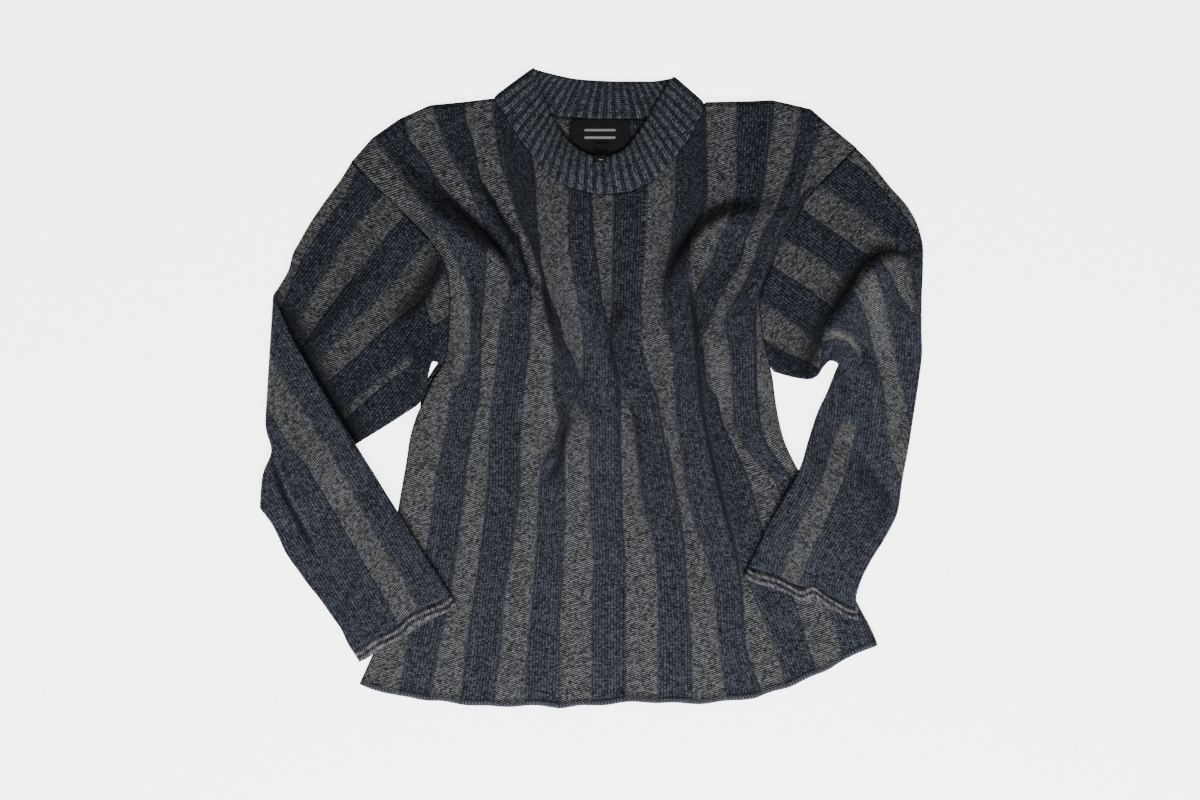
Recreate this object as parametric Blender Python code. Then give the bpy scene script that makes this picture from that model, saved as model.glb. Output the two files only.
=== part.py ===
"""A striped rib knit sweater laid flat on a table, one sleeve folded at the elbow.

Plan sizes are millimetres, x to the right and y from the shoulders down to the hem.
Heights are millimetres above the table. Each cloth piece is a wall with two faces.
"""

import math

import bpy
import numpy as np

for item in list(bpy.data.objects):
    bpy.data.objects.remove(item, do_unlink=True)

MM = 0.001
CENTRE_X = 591.7
CENTRE_Y = 387.42
WALL = 2.0
LAYER_GAP = 0.4
SEAM_GAP = 0.6
BACK_TOP = WALL
FRONT_BASE = BACK_TOP + LAYER_GAP
FRONT_TOP = FRONT_BASE + WALL
RIB_CROWN = 0.5
SLEEVE_GAP = 0.8
SLEEVE_TOP = 2.0 * WALL + SLEEVE_GAP
PIVOT_HEIGHT = SLEEVE_TOP + 0.3
FOLD_ARC = 8.0
NOTCH = 8.0
LAID_BASE = FRONT_TOP + RIB_CROWN + 0.5
LAID_HOLD = 12.0
LAID_FALL = 34.0
BAND_WALL = 2.2
BAND_RIB = 0.7
BAND_PITCH = 10.0
BAND_GAP = 1.4

# Columns of the panels: where the edges of the wide ribs lie at a given y.
TRACK_WIDTH = 32.5
TRACK_U = [32.5 * k for k in range(18)]
TRACKS = np.array([
    # y, then the x of the left edge, of each rib's edges and of the right edge
    (60, 247, 310, 392, 428, 460, 490, 529, 568, 592,
     614, 648, 676, 706, 737, 778, 808, 860, 945),
    (100, 288, 345, 400, 434, 464, 493.5, 530, 568.5, 592,
     614, 648, 676, 706, 737, 774.5, 803, 835, 905),
    (120, 308, 362, 404, 437.5, 466, 495, 531, 569, 592,
     614, 648, 676, 706, 737, 773, 800, 825, 885),
    (140, 329, 377, 410, 444, 473, 497.5, 532, 569, 592,
     614, 648, 676, 706.5, 737, 770, 797, 817, 865),
    (160, 349.5, 392, 425.5, 454, 477, 500, 533, 569, 592,
     614, 648, 676, 707, 737, 767, 793.5, 809, 845),
    (180, 370, 407, 437.5, 466, 481, 507, 535.5, 569, 592,
     614, 647.5, 675.5, 707.5, 736.5, 764.5, 787.5, 803, 825),
    (200, 390, 421, 454, 476, 494, 512, 536, 569, 592,
     614, 647, 675, 707, 735, 761, 780, 797, 806),
    (220, 411, 433, 469, 483, 503, 518, 537, 569, 592.5,
     614, 646, 673.5, 700, 729, 754, 771, 787, 794),
    (240, 430, 447, 482.5, 489.5, 520, 529, 539.5, 569, 594,
     613.5, 645, 672, 689, 719, 745.5, 760, 775, 782),
    (260, 443, 458, 487.5, 507, 524, 535, 542, 570.5, 597,
     613, 643.5, 668, 689, 712, 741, 755, 767.5, 774.5),
    (280, 448, 467.5, 485.5, 512, 530, 540, 547, 574, 600,
     613, 642, 664.5, 691, 702, 730, 747, 759, 766),
    (300, 449, 472, 484, 508, 532, 543.5, 551, 578, 602,
     613, 641, 662.5, 690, 697, 718.5, 735, 753, 760),
    (320, 448.5, 472, 482, 502, 530, 547, 560, 580.5, 606,
     613, 641.5, 664, 692, 699, 710, 725, 755, 762),
    (340, 447.5, 472, 481, 500, 530, 553, 564, 583.5, 607,
     614, 641, 670, 692, 699, 706, 728, 756, 764),
    (360, 444, 469, 481, 498, 528, 553.5, 574, 584, 610,
     617, 645, 674, 694, 701, 708, 732, 756.5, 769),
    (380, 432.5, 461, 480.5, 496, 525, 553, 578, 585, 614.5,
     621.5, 650, 674, 695.5, 702.5, 709.5, 732, 757, 773),
    (400, 423.5, 450.5, 479, 493.5, 523, 554.5, 571.5, 578.5, 620.5,
     631, 658, 676, 699, 706, 717.5, 734, 758, 775.5),
    (420, 415, 448, 474, 491, 521.5, 559, 568, 590, 620.5,
     634, 661, 676, 702, 709, 722, 735, 760, 779),
    (440, 409.5, 444, 471, 490.5, 520, 555, 565, 590.5, 620.5,
     636.5, 664.5, 680.5, 706, 713, 731, 743, 765, 784),
    (460, 406.5, 440, 467.5, 489.5, 520, 544, 564.5, 590, 621,
     639, 670, 683, 711, 718, 740, 756, 778, 793),
    (480, 403, 437, 465, 488, 520, 540.5, 565, 590, 622,
     641, 674, 685.5, 716, 723, 749, 776, 793, 804),
    (520, 396, 431.5, 460.5, 485, 516, 538.5, 565, 592, 622.5,
     648, 681, 694.5, 725, 732, 760, 786, 806, 818),
    (560, 388, 425, 455, 479.5, 510, 536, 562.5, 594, 625,
     656.5, 685.5, 708.5, 736, 743, 775, 804, 826, 836),
    (600, 383, 417.5, 449, 474, 504, 533, 560.5, 592, 625,
     658.5, 687.5, 716, 743, 757, 794, 824, 847, 856),
    (640, 377, 409.5, 440, 468, 501, 529, 559.5, 592, 625,
     658.5, 691, 719.5, 745, 773, 806, 840, 867, 876),
    (690, 357, 400, 431, 462, 495, 526, 559, 592, 625,
     658.5, 692, 726, 760, 789, 821, 845, 877, 890),
    (710, 350, 396, 427, 459, 492, 525, 559, 592, 625,
     659, 692.5, 728, 764, 794, 828, 848, 880, 893),
], float)
SHOULDER_LEFT = [(351, 162), (372, 138), (399, 119), (430, 105), (462, 102)]
SHOULDER_RIGHT = [(750, 101), (772, 100), (790, 104), (811, 109), (834, 129), (857, 148)]
NECK_FRONT = [(495, 98), (508, 118), (521, 139), (534, 157), (550, 173), (570, 187),
              (600, 194), (630, 191), (653, 180), (672, 160), (690, 136), (701, 113), (703, 102)]
NECK_BACK = [(495, 98), (525, 110), (555, 115), (600, 118), (650, 117), (682, 110.5),
             (698, 105.5), (703, 103.5)]
HEM = [(340, 673), (362, 684), (385, 692), (400, 696.5), (430, 702), (470, 704), (500, 706.5),
       (560, 708), (580, 705), (620, 703.5), (660, 703.5), (700, 702.5), (740, 701), (756, 699),
       (770, 694), (800, 681), (830, 669), (850, 659), (878, 644.5), (900, 632.5)]

# Folds of the front: path points with their height, then how far each side spreads.
FOLDS = [
    # name, [(x, y, height)], spread left of travel, spread right of travel
    ("left shoulder", [(392, 170, 3), (425, 205, 10), (470, 238, 14), (498, 262, 14),
                       (507, 290, 13), (501, 340, 9), (495, 395, 3)], 8, 26),
    ("second", [(470, 175, 2), (492, 215, 6), (512, 245, 8), (525, 275, 7),
                (533, 320, 4), (538, 350, 0)], 7, 14),
    ("third", [(533, 255, 1), (541, 300, 5), (552, 340, 5), (565, 380, 0)], 7, 13),
    ("centre", [(637, 300, 0), (615, 325, 6), (609, 345, 6), (616, 370, 5), (628, 395, 0)],
     8, 16),
    ("chest arc", [(765, 212, 3), (748, 215, 9), (722, 222, 13), (702, 236, 13), (689, 258, 12),
                   (682, 285, 8), (680, 318, 2)], 26, 9),
    ("long right", [(693, 275, 6), (695, 316, 9), (698, 353, 9), (704, 402, 8), (719, 471, 6),
                    (735, 536, 4), (746, 568, 0)], 7, 20),
    ("right armpit", [(800, 172, 1), (772, 212, 6), (755, 245, 7), (735, 285, 6),
                      (712, 330, 2)], 14, 8),
    ("left side", [(452, 262, 1), (468, 300, 6), (470, 340, 6), (450, 375, 5),
                   (432, 420, 1)], 9, 9),
    ("bottom crease", [(585, 408, 1), (567, 432, 6), (553, 458, 6), (543, 485, 1)], 8, 18),
    ("right low edge", [(752, 395, 0), (768, 425, 4), (782, 452, 3), (788, 470, 0)], 9, 9),
    ("lower left", [(520, 420, 0), (506, 500, 2.5), (496, 580, 2.5), (480, 670, 0)], 28, 28),
    ("lower middle", [(590, 480, 0), (585, 560, 2), (588, 630, 2), (590, 680, 0)], 24, 24),
    ("lower right", [(640, 420, 0), (652, 500, 2.5), (660, 580, 2.5), (668, 670, 0)], 26, 26),
]
# Folds of the upper wall of each sleeve, written the same way.
RIGHT_UPPER_FOLDS = [
    ("underarm roll", [(404, 338, 2), (415, 352, 5), (424, 370, 5), (424, 388, 2)], 9, 9),
    ("elbow pull", [(372, 262, 0), (352, 292, 4), (330, 318, 4), (312, 333, 1)], 14, 9),
]
RIGHT_FOREARM_FOLDS = [
    ("lap edge", [(281, 400, 1), (291, 450, 5), (307, 500, 6), (320, 545, 3), (330, 575, 0)],
     20, 8),
    ("forearm swell", [(300, 330, 0), (330, 420, 3), (368, 510, 3), (395, 580, 0)], 26, 26),
]
LEFT_FOLDS = [
    ("elbow arc", [(908, 262, 3), (888, 262, 9), (872, 272, 12), (858, 290, 13), (845, 312, 13),
                   (835, 332, 11), (833, 344, 5)], 34, 10),
    ("outer step", [(905, 268, 2), (912, 300, 6), (911, 330, 3), (908, 350, 0)], 14, 8),
    ("diagonal lap", [(862, 350, 0), (874, 380, 6), (886, 420, 6), (896, 460, 5),
                      (890, 490, 1)], 14, 8),
    ("hook roll", [(846, 340, 3), (858, 352, 5), (861, 370, 4), (852, 392, 1)], 9, 9),
    ("low swell", [(835, 440, 0), (820, 490, 3), (800, 540, 3), (790, 565, 0)], 22, 22),
]


def pchip_slopes(x, y):
    """Slopes that keep a cubic through the points free of overshoot."""
    h = np.diff(x)[:, None]
    d = np.diff(y, axis=0) / h
    m = np.empty_like(y)
    m[0] = d[0]
    m[-1] = d[-1]
    w1 = 2.0 * h[1:] + h[:-1]
    w2 = h[1:] + 2.0 * h[:-1]
    same = d[:-1] * d[1:] > 1e-12
    safe0 = np.where(same, d[:-1], 1.0)
    safe1 = np.where(same, d[1:], 1.0)
    m[1:-1] = np.where(same, (w1 + w2) / (w1 / safe0 + w2 / safe1), 0.0)
    return m


def pchip(x, y, at):
    """Smooth values at the places asked for; y may hold several columns."""
    x = np.asarray(x, float)
    y = np.asarray(y, float)
    flat = y.ndim == 1
    y = y[:, None] if flat else y
    m = pchip_slopes(x, y)
    at = np.clip(np.asarray(at, float), x[0], x[-1])
    k = np.clip(np.searchsorted(x, at, side="right") - 1, 0, len(x) - 2)
    h = (x[k + 1] - x[k])[:, None]
    t = ((at - x[k])[:, None]) / h
    out = ((2 * t**3 - 3 * t**2 + 1) * y[k] + (t**3 - 2 * t**2 + t) * h * m[k]
           + (3 * t**2 - 2 * t**3) * y[k + 1] + (t**3 - t**2) * h * m[k + 1])
    return out[:, 0] if flat else out


def ease(t):
    """A soft step from 0 to 1."""
    t = np.clip(t, 0.0, 1.0)
    return t * t * (3.0 - 2.0 * t)


def along(points, share):
    """Points at the given shares of a polyline's length."""
    points = np.asarray(points, float)
    steps = np.hypot(*np.diff(points[:, :2], axis=0).T)
    run = np.concatenate([[0.0], np.cumsum(steps)])
    share = np.asarray(share) * run[-1]
    return np.stack([np.interp(share, run, points[:, i]) for i in range(points.shape[1])], axis=-1)


def fold_height(folds, x, y):
    """Height that the named folds add at plan points."""
    total = np.zeros(np.shape(x))
    for _, path, left, right in folds:
        path = np.asarray(path, float)
        best = np.full(np.shape(x), 1e9)
        side = np.zeros(np.shape(x))
        tall = np.zeros(np.shape(x))
        for (x0, y0, h0), (x1, y1, h1) in zip(path[:-1], path[1:]):
            dx = x1 - x0
            dy = y1 - y0
            t = np.clip(((x - x0) * dx + (y - y0) * dy) / (dx * dx + dy * dy), 0.0, 1.0)
            away = np.hypot(x - x0 - t * dx, y - y0 - t * dy)
            near = away < best
            best = np.where(near, away, best)
            side = np.where(near, dx * (y - y0) - dy * (x - x0), side)
            tall = np.where(near, h0 + (h1 - h0) * t, tall)
        spread = np.where(side < 0.0, left, right)
        total = total + tall * np.exp(-((best / spread) ** 2))
    return total


def grid_normals(p, wrap_rows, wrap_cols):
    """Unit normals of a grid of points."""
    def step(axis, wrap):
        if wrap:
            return np.roll(p, -1, axis) - np.roll(p, 1, axis)
        return np.gradient(p, axis=axis)
    n = np.cross(step(0, wrap_rows), step(1, wrap_cols))
    return n / np.maximum(np.linalg.norm(n, axis=2, keepdims=True), 1e-9)


def wall(name, outer, inner, colour, wrap_rows=False, wrap_cols=False):
    """A closed cloth wall between two grids of points of the same shape."""
    rows, cols = outer.shape[:2]
    index = np.arange(rows * cols).reshape(rows, cols)
    shift = rows * cols
    row_ends = list(range(rows)) + ([0] if wrap_rows else [])
    col_ends = list(range(cols)) + ([0] if wrap_cols else [])
    faces = []
    for r0, r1 in zip(row_ends[:-1], row_ends[1:]):
        for c0, c1 in zip(col_ends[:-1], col_ends[1:]):
            quad = (index[r0, c0], index[r0, c1], index[r1, c1], index[r1, c0])
            faces.append(tuple(int(i) for i in quad))
            faces.append(tuple(int(i) + shift for i in reversed(quad)))
    if not wrap_rows:
        for r, turned in ((0, False), (rows - 1, True)):
            for c0, c1 in zip(col_ends[:-1], col_ends[1:]):
                a, b = int(index[r, c0]), int(index[r, c1])
                side = (a, a + shift, b + shift, b)
                faces.append(tuple(reversed(side)) if turned else side)
    if not wrap_cols:
        for c, turned in ((0, True), (cols - 1, False)):
            for r0, r1 in zip(row_ends[:-1], row_ends[1:]):
                a, b = int(index[r0, c]), int(index[r1, c])
                side = (a, a + shift, b + shift, b)
                faces.append(tuple(reversed(side)) if turned else side)
    points = np.concatenate([outer.reshape(-1, 3), inner.reshape(-1, 3)])
    plan = np.stack([points[:, 0] - CENTRE_X, CENTRE_Y - points[:, 1], points[:, 2]], axis=1) * MM
    split = []
    for a, b, c, d in faces:
        if np.linalg.norm(plan[a] - plan[c]) <= np.linalg.norm(plan[b] - plan[d]):
            split += [(a, b, c), (a, c, d)]
        else:
            split += [(a, b, d), (b, c, d)]
    corners = plan[np.array(split)]
    if np.linalg.det(corners).sum() < 0.0:
        split = [tri[::-1] for tri in split]
    mesh = bpy.data.meshes.new(name)
    mesh.from_pydata(plan.tolist(), [], split)
    mesh.update()
    piece = bpy.data.objects.new(name, mesh)
    bpy.context.scene.collection.objects.link(piece)
    material = bpy.data.materials.new(name)
    material.use_nodes = True
    shader = material.node_tree.nodes["Principled BSDF"]
    shader.inputs["Base Color"].default_value = (*colour, 1.0)
    shader.inputs["Roughness"].default_value = 0.95
    mesh.materials.append(material)
    return piece


# The panels' columns, each a path down the body.
LEVELS = np.arange(62.0, 709.0, 2.0)
TRACK_LINES = pchip(TRACKS[:, 0], TRACKS[:, 1:], LEVELS)


def columns(u_list):
    """x of each column at each level."""
    return pchip(TRACK_U, TRACK_LINES.T, u_list).T


def column_through(x, y):
    """The column that passes a plan point."""
    u_list = np.linspace(0.0, 552.5, 1106)
    lines = columns(u_list)
    row = np.array([np.interp(y, LEVELS, lines[:, k]) for k in range(len(u_list))])
    return float(np.interp(x, row, u_list))


def crossing(line, edge, first):
    """Level where a column meets an edge that is given as y over x."""
    edge = np.asarray(edge, float)
    below = LEVELS - np.interp(line, edge[:, 0], edge[:, 1])
    k = int(np.argmax(below > 0.0))
    if first == 0 and k == 0:
        return LEVELS[0]
    if below[k] <= 0.0:
        return LEVELS[-1]
    t = below[k - 1] / (below[k - 1] - below[k])
    return LEVELS[k - 1] + t * (LEVELS[k] - LEVELS[k - 1])


def panel_plan(u_list, shares, neck, inset):
    """Plan points of a panel, rows from the top edge to the hem."""
    top = SHOULDER_LEFT + neck + SHOULDER_RIGHT
    lines = columns(u_list)
    x = np.empty((len(shares), len(u_list)))
    y = np.empty_like(x)
    for k in range(len(u_list)):
        head = crossing(lines[:, k], top, 0)
        foot = crossing(lines[:, k], HEM, 1) - inset
        y[:, k] = head + (foot - head) * np.asarray(shares)
        x[:, k] = np.interp(y[:, k], LEVELS, lines[:, k])
    return x, y


def rib_crown(u_list):
    """How high each column stands: navy ribs are raised, grey ribs are not."""
    phase = (np.asarray(u_list) - TRACK_WIDTH) / TRACK_WIDTH
    navy = np.floor(phase) % 2 == 0
    return np.where(navy, RIB_CROWN * np.sin(np.pi * (phase % 1.0)), 0.0)


def panel_columns(neck, count_extra):
    """Rib edges and middles, with a column at each corner of the neckline."""
    steps = np.arange(0.0, 552.6, TRACK_WIDTH / 2.0)
    corners = [column_through(x + shift, y) for x, y, shift in count_extra]
    keep = [u for u in steps if min(abs(u - c) for c in corners) > 5.0]
    return np.array(sorted(keep + corners))


FRONT_COLUMNS = panel_columns(NECK_FRONT, [(495, 98, 0.5), (508, 118, 0), (521, 139, 0),
                                           (534, 157, 0), (550, 173, 0), (672, 160, 0),
                                           (690, 136, 0), (701, 113, 0), (703, 102, -0.5)])
FRONT_SHARES = np.linspace(0.0, 1.0, 32)
BACK_COLUMNS = np.array([0.0, 16.25, 65.0, 113.75, 150.0] +
                        [column_through(x, y) for x, y in NECK_BACK] +
                        [420.0, 455.0, 487.5, 536.25, 552.5])
BACK_SHARES = np.linspace(0.0, 1.0, 29)


def front_panel():
    x, y = panel_plan(FRONT_COLUMNS, FRONT_SHARES, NECK_FRONT, 0.0)
    border = np.minimum(FRONT_SHARES[:, None] / 0.03, (1.0 - FRONT_SHARES[:, None]) / 0.03)
    border = ease(np.minimum(border, 1.0)) * np.ones_like(x)
    plain = np.stack([x, y, FRONT_TOP + border * fold_height(FOLDS, x, y)], axis=2)
    normal = grid_normals(plain, False, False)
    normal *= np.sign(normal[:, :, 2:3])
    normal[0] = normal[-1] = (0.0, 0.0, 1.0)
    normal[:, 0] = normal[:, -1] = (0.0, 0.0, 1.0)
    outer = plain.copy()
    outer[:, :, 2] += rib_crown(FRONT_COLUMNS) * ease(FRONT_SHARES / 0.03)[:, None]
    inner = plain - WALL * normal
    inner[:, :, 2] = np.maximum(inner[:, :, 2], FRONT_BASE)
    wall("front", outer, inner, (0.13, 0.15, 0.2))
    return plain


def back_panel():
    x, y = panel_plan(BACK_COLUMNS, BACK_SHARES, NECK_BACK, 2.0)
    x[:, 0] += 1.3
    x[:, -1] -= 1.3
    upper = np.stack([x, y, np.full_like(x, BACK_TOP)], axis=2)
    lower = upper.copy()
    lower[:, :, 2] = 0.0
    wall("back", upper, lower, (0.13, 0.15, 0.2))
    return upper


# Each sleeve is a flattened tube. Rows run from the armhole to the sleeve's end.
# Columns: outer edge x and y, underarm edge x and y, bow of the middle x and y.
FOLD_POINT = np.array((278.5, 290.0))
FOLD_RUN = np.array((-0.0624, 0.99805))
FOLD_AWAY = np.array((-0.99805, -0.0624))


def fold_row(q):
    """A row parallel to the elbow fold, q beyond it."""
    outer = FOLD_POINT + q * FOLD_AWAY + (-3.6 + 2.07 * q) * FOLD_RUN
    under = FOLD_POINT + q * FOLD_AWAY + (214.0 + 1.22 * q) * FOLD_RUN
    return (*outer, *under, 0.0, 0.0)


RIGHT_ROWS = [
    (340, 180, 433, 361.5, 27, -7),
    (324, 202, 421.5, 400.5, 16, -4),
    (311, 221, 402, 415.5, 8, -2),
    (299.5, 241, 367, 437.5, 3, -1),
    (292.5, 254, 324, 464, 0, 0),
    fold_row(-9.0), fold_row(0.0), fold_row(2.0), fold_row(4.0), fold_row(6.0), fold_row(8.0),
    fold_row(15.0),
    (247, 339, 237, 539.5, 0, 0),
    (232, 359, 232, 548, 0, 0),
    (214, 382, 224.5, 557, 0, 0),
    (194, 408, 216, 566, 0, 0),
    (174, 433, 206, 577, 0, 0),
    (149, 464, 190.5, 592, 0, 0),
    (122, 497, 176, 608, 0, 0),
    (100, 524, 166, 619, 0, 0),
    (80, 548, 158, 631.5, 0, 0),
    (62, 570, 151.5, 639, 0, 0),
]
LEFT_ROWS = [
    (872, 163.5, 784, 375, -32, -10),
    (890.5, 186.5, 796, 378, -22, -8),
    (908, 206.5, 808, 379.5, -14, -5),
    (919, 228, 817, 376.5, -8, -3),
    (923.5, 250, 822, 369, -4, -1),
    (923, 275, 826, 364, 0, 0),
    (922, 300, 829, 361, 0, 0),
    (922, 326, 832.5, 361, 0, 0),
    (922.5, 351, 838, 364.5, 0, 0),
    (919, 382, 834.5, 373, 0, 0),
    (914, 415, 827, 392, 0, 0),
    (909, 447, 818, 411, 0, 0),
    (902.5, 482, 808, 440, 0, 0),
    (898.5, 510, 800.5, 465, 0, 0),
    (886, 537, 787, 491, 0, 0),
    (871, 561, 774, 514, 0, 0),
    (861, 580, 764, 533, 0, 0),
    (856, 598, 755, 552, 0, 0),
    (857, 608, 748, 566, 0, 0),
]
TOP_POINTS = 16
LOW_POINTS = 9


def armhole_edge(panel, side):
    """The plan line of a panel's armhole, from the shoulder to the underarm."""
    line = panel[:, 0 if side < 0 else -1, :2]
    foot = 366.0 if side < 0 else 372.0
    line = line[line[:, 1] < foot - 4.0]
    end = (441.2, 364.5) if side < 0 else (774.5, 372.0)
    return np.concatenate([line, [end]])


def sleeve_plan(rows, edge, side, share):
    """Plan points across each row; the first row follows the armhole."""
    first = along(edge, share)
    first[:, 0] += side * SEAM_GAP
    out = [first]
    for ox, oy, ux, uy, bx, by in rows:
        straight = np.array((ox, oy)) + np.outer(share, (ux - ox, uy - oy))
        bow = np.outer(4.0 * share * (1.0 - share), (bx, by))
        out.append(straight + bow)
    return np.array(out)


def ring(plan_of, width_of):
    """Outer and inner points round a flattened tube, and which wall each lies in."""
    top = np.linspace(0.0, 1.0, TOP_POINTS)
    low = np.linspace(1.0, 0.0, LOW_POINTS)
    half = 0.5 * SLEEVE_TOP
    reach = half / width_of
    outer = []
    inner = []
    for share in top:
        s = reach + (1.0 - 2.0 * reach) * share
        outer.append((s, SLEEVE_TOP, 1.0))
        inner.append((s, SLEEVE_TOP - WALL, 1.0))
    outer.append((np.ones_like(reach), half, 0.0))
    inner.append((1.0 - reach * WALL / half, half, 0.0))
    for share in low:
        s = reach + (1.0 - 2.0 * reach) * share
        outer.append((s, 0.0, -1.0))
        inner.append((s, WALL, -1.0))
    outer.append((np.zeros_like(reach), half, 0.0))
    inner.append((reach * WALL / half, half, 0.0))
    result = []
    for loop in (outer, inner):
        points = np.empty((len(width_of), len(loop), 3))
        for k, (s, z, _) in enumerate(loop):
            points[:, k, :2] = plan_of(s)
            points[:, k, 2] = z
        result.append(points)
    layer = np.array([flag for _, _, flag in outer])
    return result[0], result[1], layer


def tube(rows, edge, side):
    """The flat tube of a sleeve before it is folded."""
    fine = np.linspace(0.0, 1.0, 41)
    plan = sleeve_plan(rows, edge, side, fine)
    width = np.hypot(*(np.diff(plan, axis=1).transpose(2, 0, 1))).sum(axis=1)

    def plan_of(s):
        out = np.empty((len(plan), 2))
        for r in range(len(plan)):
            out[r, 0] = np.interp(s[r], fine, plan[r, :, 0])
            out[r, 1] = np.interp(s[r], fine, plan[r, :, 1])
        return out

    return ring(plan_of, width)


def right_support(x, y):
    """Height that the folded forearm rests at."""
    beyond = (x - 425.0) * 0.5125 + (y - 404.0) * 0.8587
    body = np.interp(y, [440, 500, 560, 645, 683], [411, 399, 388, 379, 363])
    over_sleeve = 1.0 - ease((beyond - LAID_HOLD) / LAID_FALL)
    over_body = 1.0 - ease((body - x - LAID_HOLD) / LAID_FALL)
    return LAID_BASE * np.maximum(over_sleeve, over_body)


def left_support(x, y):
    """Height that the other forearm rests at."""
    body = np.interp(y, [405, 445, 470, 520, 580, 643], [776, 787, 800, 820, 845, 877])
    over_body = 1.0 - ease((x - body - LAID_HOLD) / LAID_FALL)
    return LAID_BASE * over_body * ease((y - 392.0) / 48.0)


def fold_over(points):
    """Turns what lies beyond the elbow fold back over the sleeve."""
    rho = FOLD_ARC / math.pi
    out = points.copy()
    flat = points[:, :, :2] - FOLD_POINT
    q = flat @ FOLD_AWAY
    t = flat @ FOLD_RUN
    z = points[:, :, 2]
    theta = np.clip(q / rho, 0.0, math.pi)
    arm = PIVOT_HEIGHT - z
    away = np.where(q < 0.0, q, arm * np.sin(theta) - np.maximum(q - FOLD_ARC, 0.0))
    out[:, :, :2] = (FOLD_POINT + away[:, :, None] * FOLD_AWAY + t[:, :, None] * FOLD_RUN)
    out[:, :, 2] = PIVOT_HEIGHT - arm * np.cos(theta)
    return out, ease(np.clip((q - FOLD_ARC) / 10.0, 0.0, 1.0))


def elbow_notch(points):
    """Pulls the fold in a little where the sleeve puckers below the elbow."""
    high = np.exp(-(((points[:, :, 1] - 451.0) / 16.0) ** 2))
    wide = np.exp(-((np.maximum(points[:, :, 0] - 266.0, 0.0) / 22.0) ** 2))
    points[:, :, 0] += NOTCH * high * wide
    return points


def lay_right(points, layer):
    """Folds the sleeve at the elbow and lets the forearm down on what is below."""
    near = ease((points[:, :, 0] - FOLD_POINT[0] - 8.0) / 18.0)
    upper = fold_height(RIGHT_UPPER_FOLDS, points[:, :, 0], points[:, :, 1])
    lift = np.where(layer[None, :] > 0.0, upper * near, 0.0)
    folded, beyond = fold_over(points)
    x = folded[:, :, 0]
    y = folded[:, :, 1]
    fore = fold_height(RIGHT_FOREARM_FOLDS, x, y)
    lift = lift * (1.0 - beyond) + np.where(layer[None, :] < 0.0, fore * beyond, 0.0)
    base = PIVOT_HEIGHT * 2.0 - SLEEVE_TOP
    folded[:, :, 2] += lift + beyond * (right_support(x, y) - base)
    return elbow_notch(folded)


def lay_left(points, layer):
    """Lets the sleeve down over the body and raises its folds."""
    x = points[:, :, 0]
    y = points[:, :, 1]
    lift = np.where(layer[None, :] > 0.0, fold_height(LEFT_FOLDS, x, y), 0.0)
    out = points.copy()
    out[:, :, 2] += lift + left_support(x, y)
    return out


def close_ends(lift_rows, points):
    """Keeps a fold from standing up at a sleeve's first rows."""
    points[0, :, 2] = lift_rows
    return points


def cuff_rows(last, before, reach):
    """Rows of a cuff that carries on from the end of a sleeve."""
    last = np.array(last[:4], float)
    before = np.array(before[:4], float)
    run = last - before
    run[:2] /= np.hypot(*run[:2])
    run[2:] /= np.hypot(*run[2:])
    return [(*(last + run * step), 0.0, 0.0) for step in reach]


def sleeve(name, rows, edge, side, lay):
    outer, inner, layer = tube(rows, edge, side)
    flat_end = outer[0, :, 2].copy()
    flat_inner = inner[0, :, 2].copy()
    outer = close_ends(flat_end, lay(outer, layer))
    inner = close_ends(flat_inner, lay(inner, layer))
    wall(name, outer, inner, (0.13, 0.15, 0.2), wrap_cols=True)


def cuff(name, rows, side, lay, shown):
    """A narrow ring whose edge rolls outward on the side that shows."""
    reach = (0.5, 2.5, 5.0, 7.5, 9.0)
    swell = np.array((0.3, 1.2, 0.7, 1.3, 0.3))
    more = cuff_rows(rows[-1], rows[-2], reach)
    edge = np.array([(more[0][0], more[0][1]), (more[0][2], more[0][3])])
    outer, inner, layer = tube(more[1:], edge, side * 0.0)
    outer = lay(outer, layer)
    inner = lay(inner, layer)
    grow = np.where(layer == shown, 1.0, 0.0)[None, :] * swell[:, None]
    outer[:, :, 2] += grow
    wall(name, outer, inner, (0.4, 0.42, 0.44), wrap_cols=True)


NECK_TOP_FRONT = [(535, 69), (545, 100), (560, 130), (580, 150), (600, 157), (620, 152),
                  (640, 130), (655, 105), (665, 88), (672, 78)]
NECK_TOP_BACK = [(672, 78), (650, 81), (620, 81), (580, 79), (558, 75), (535, 69)]


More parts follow.
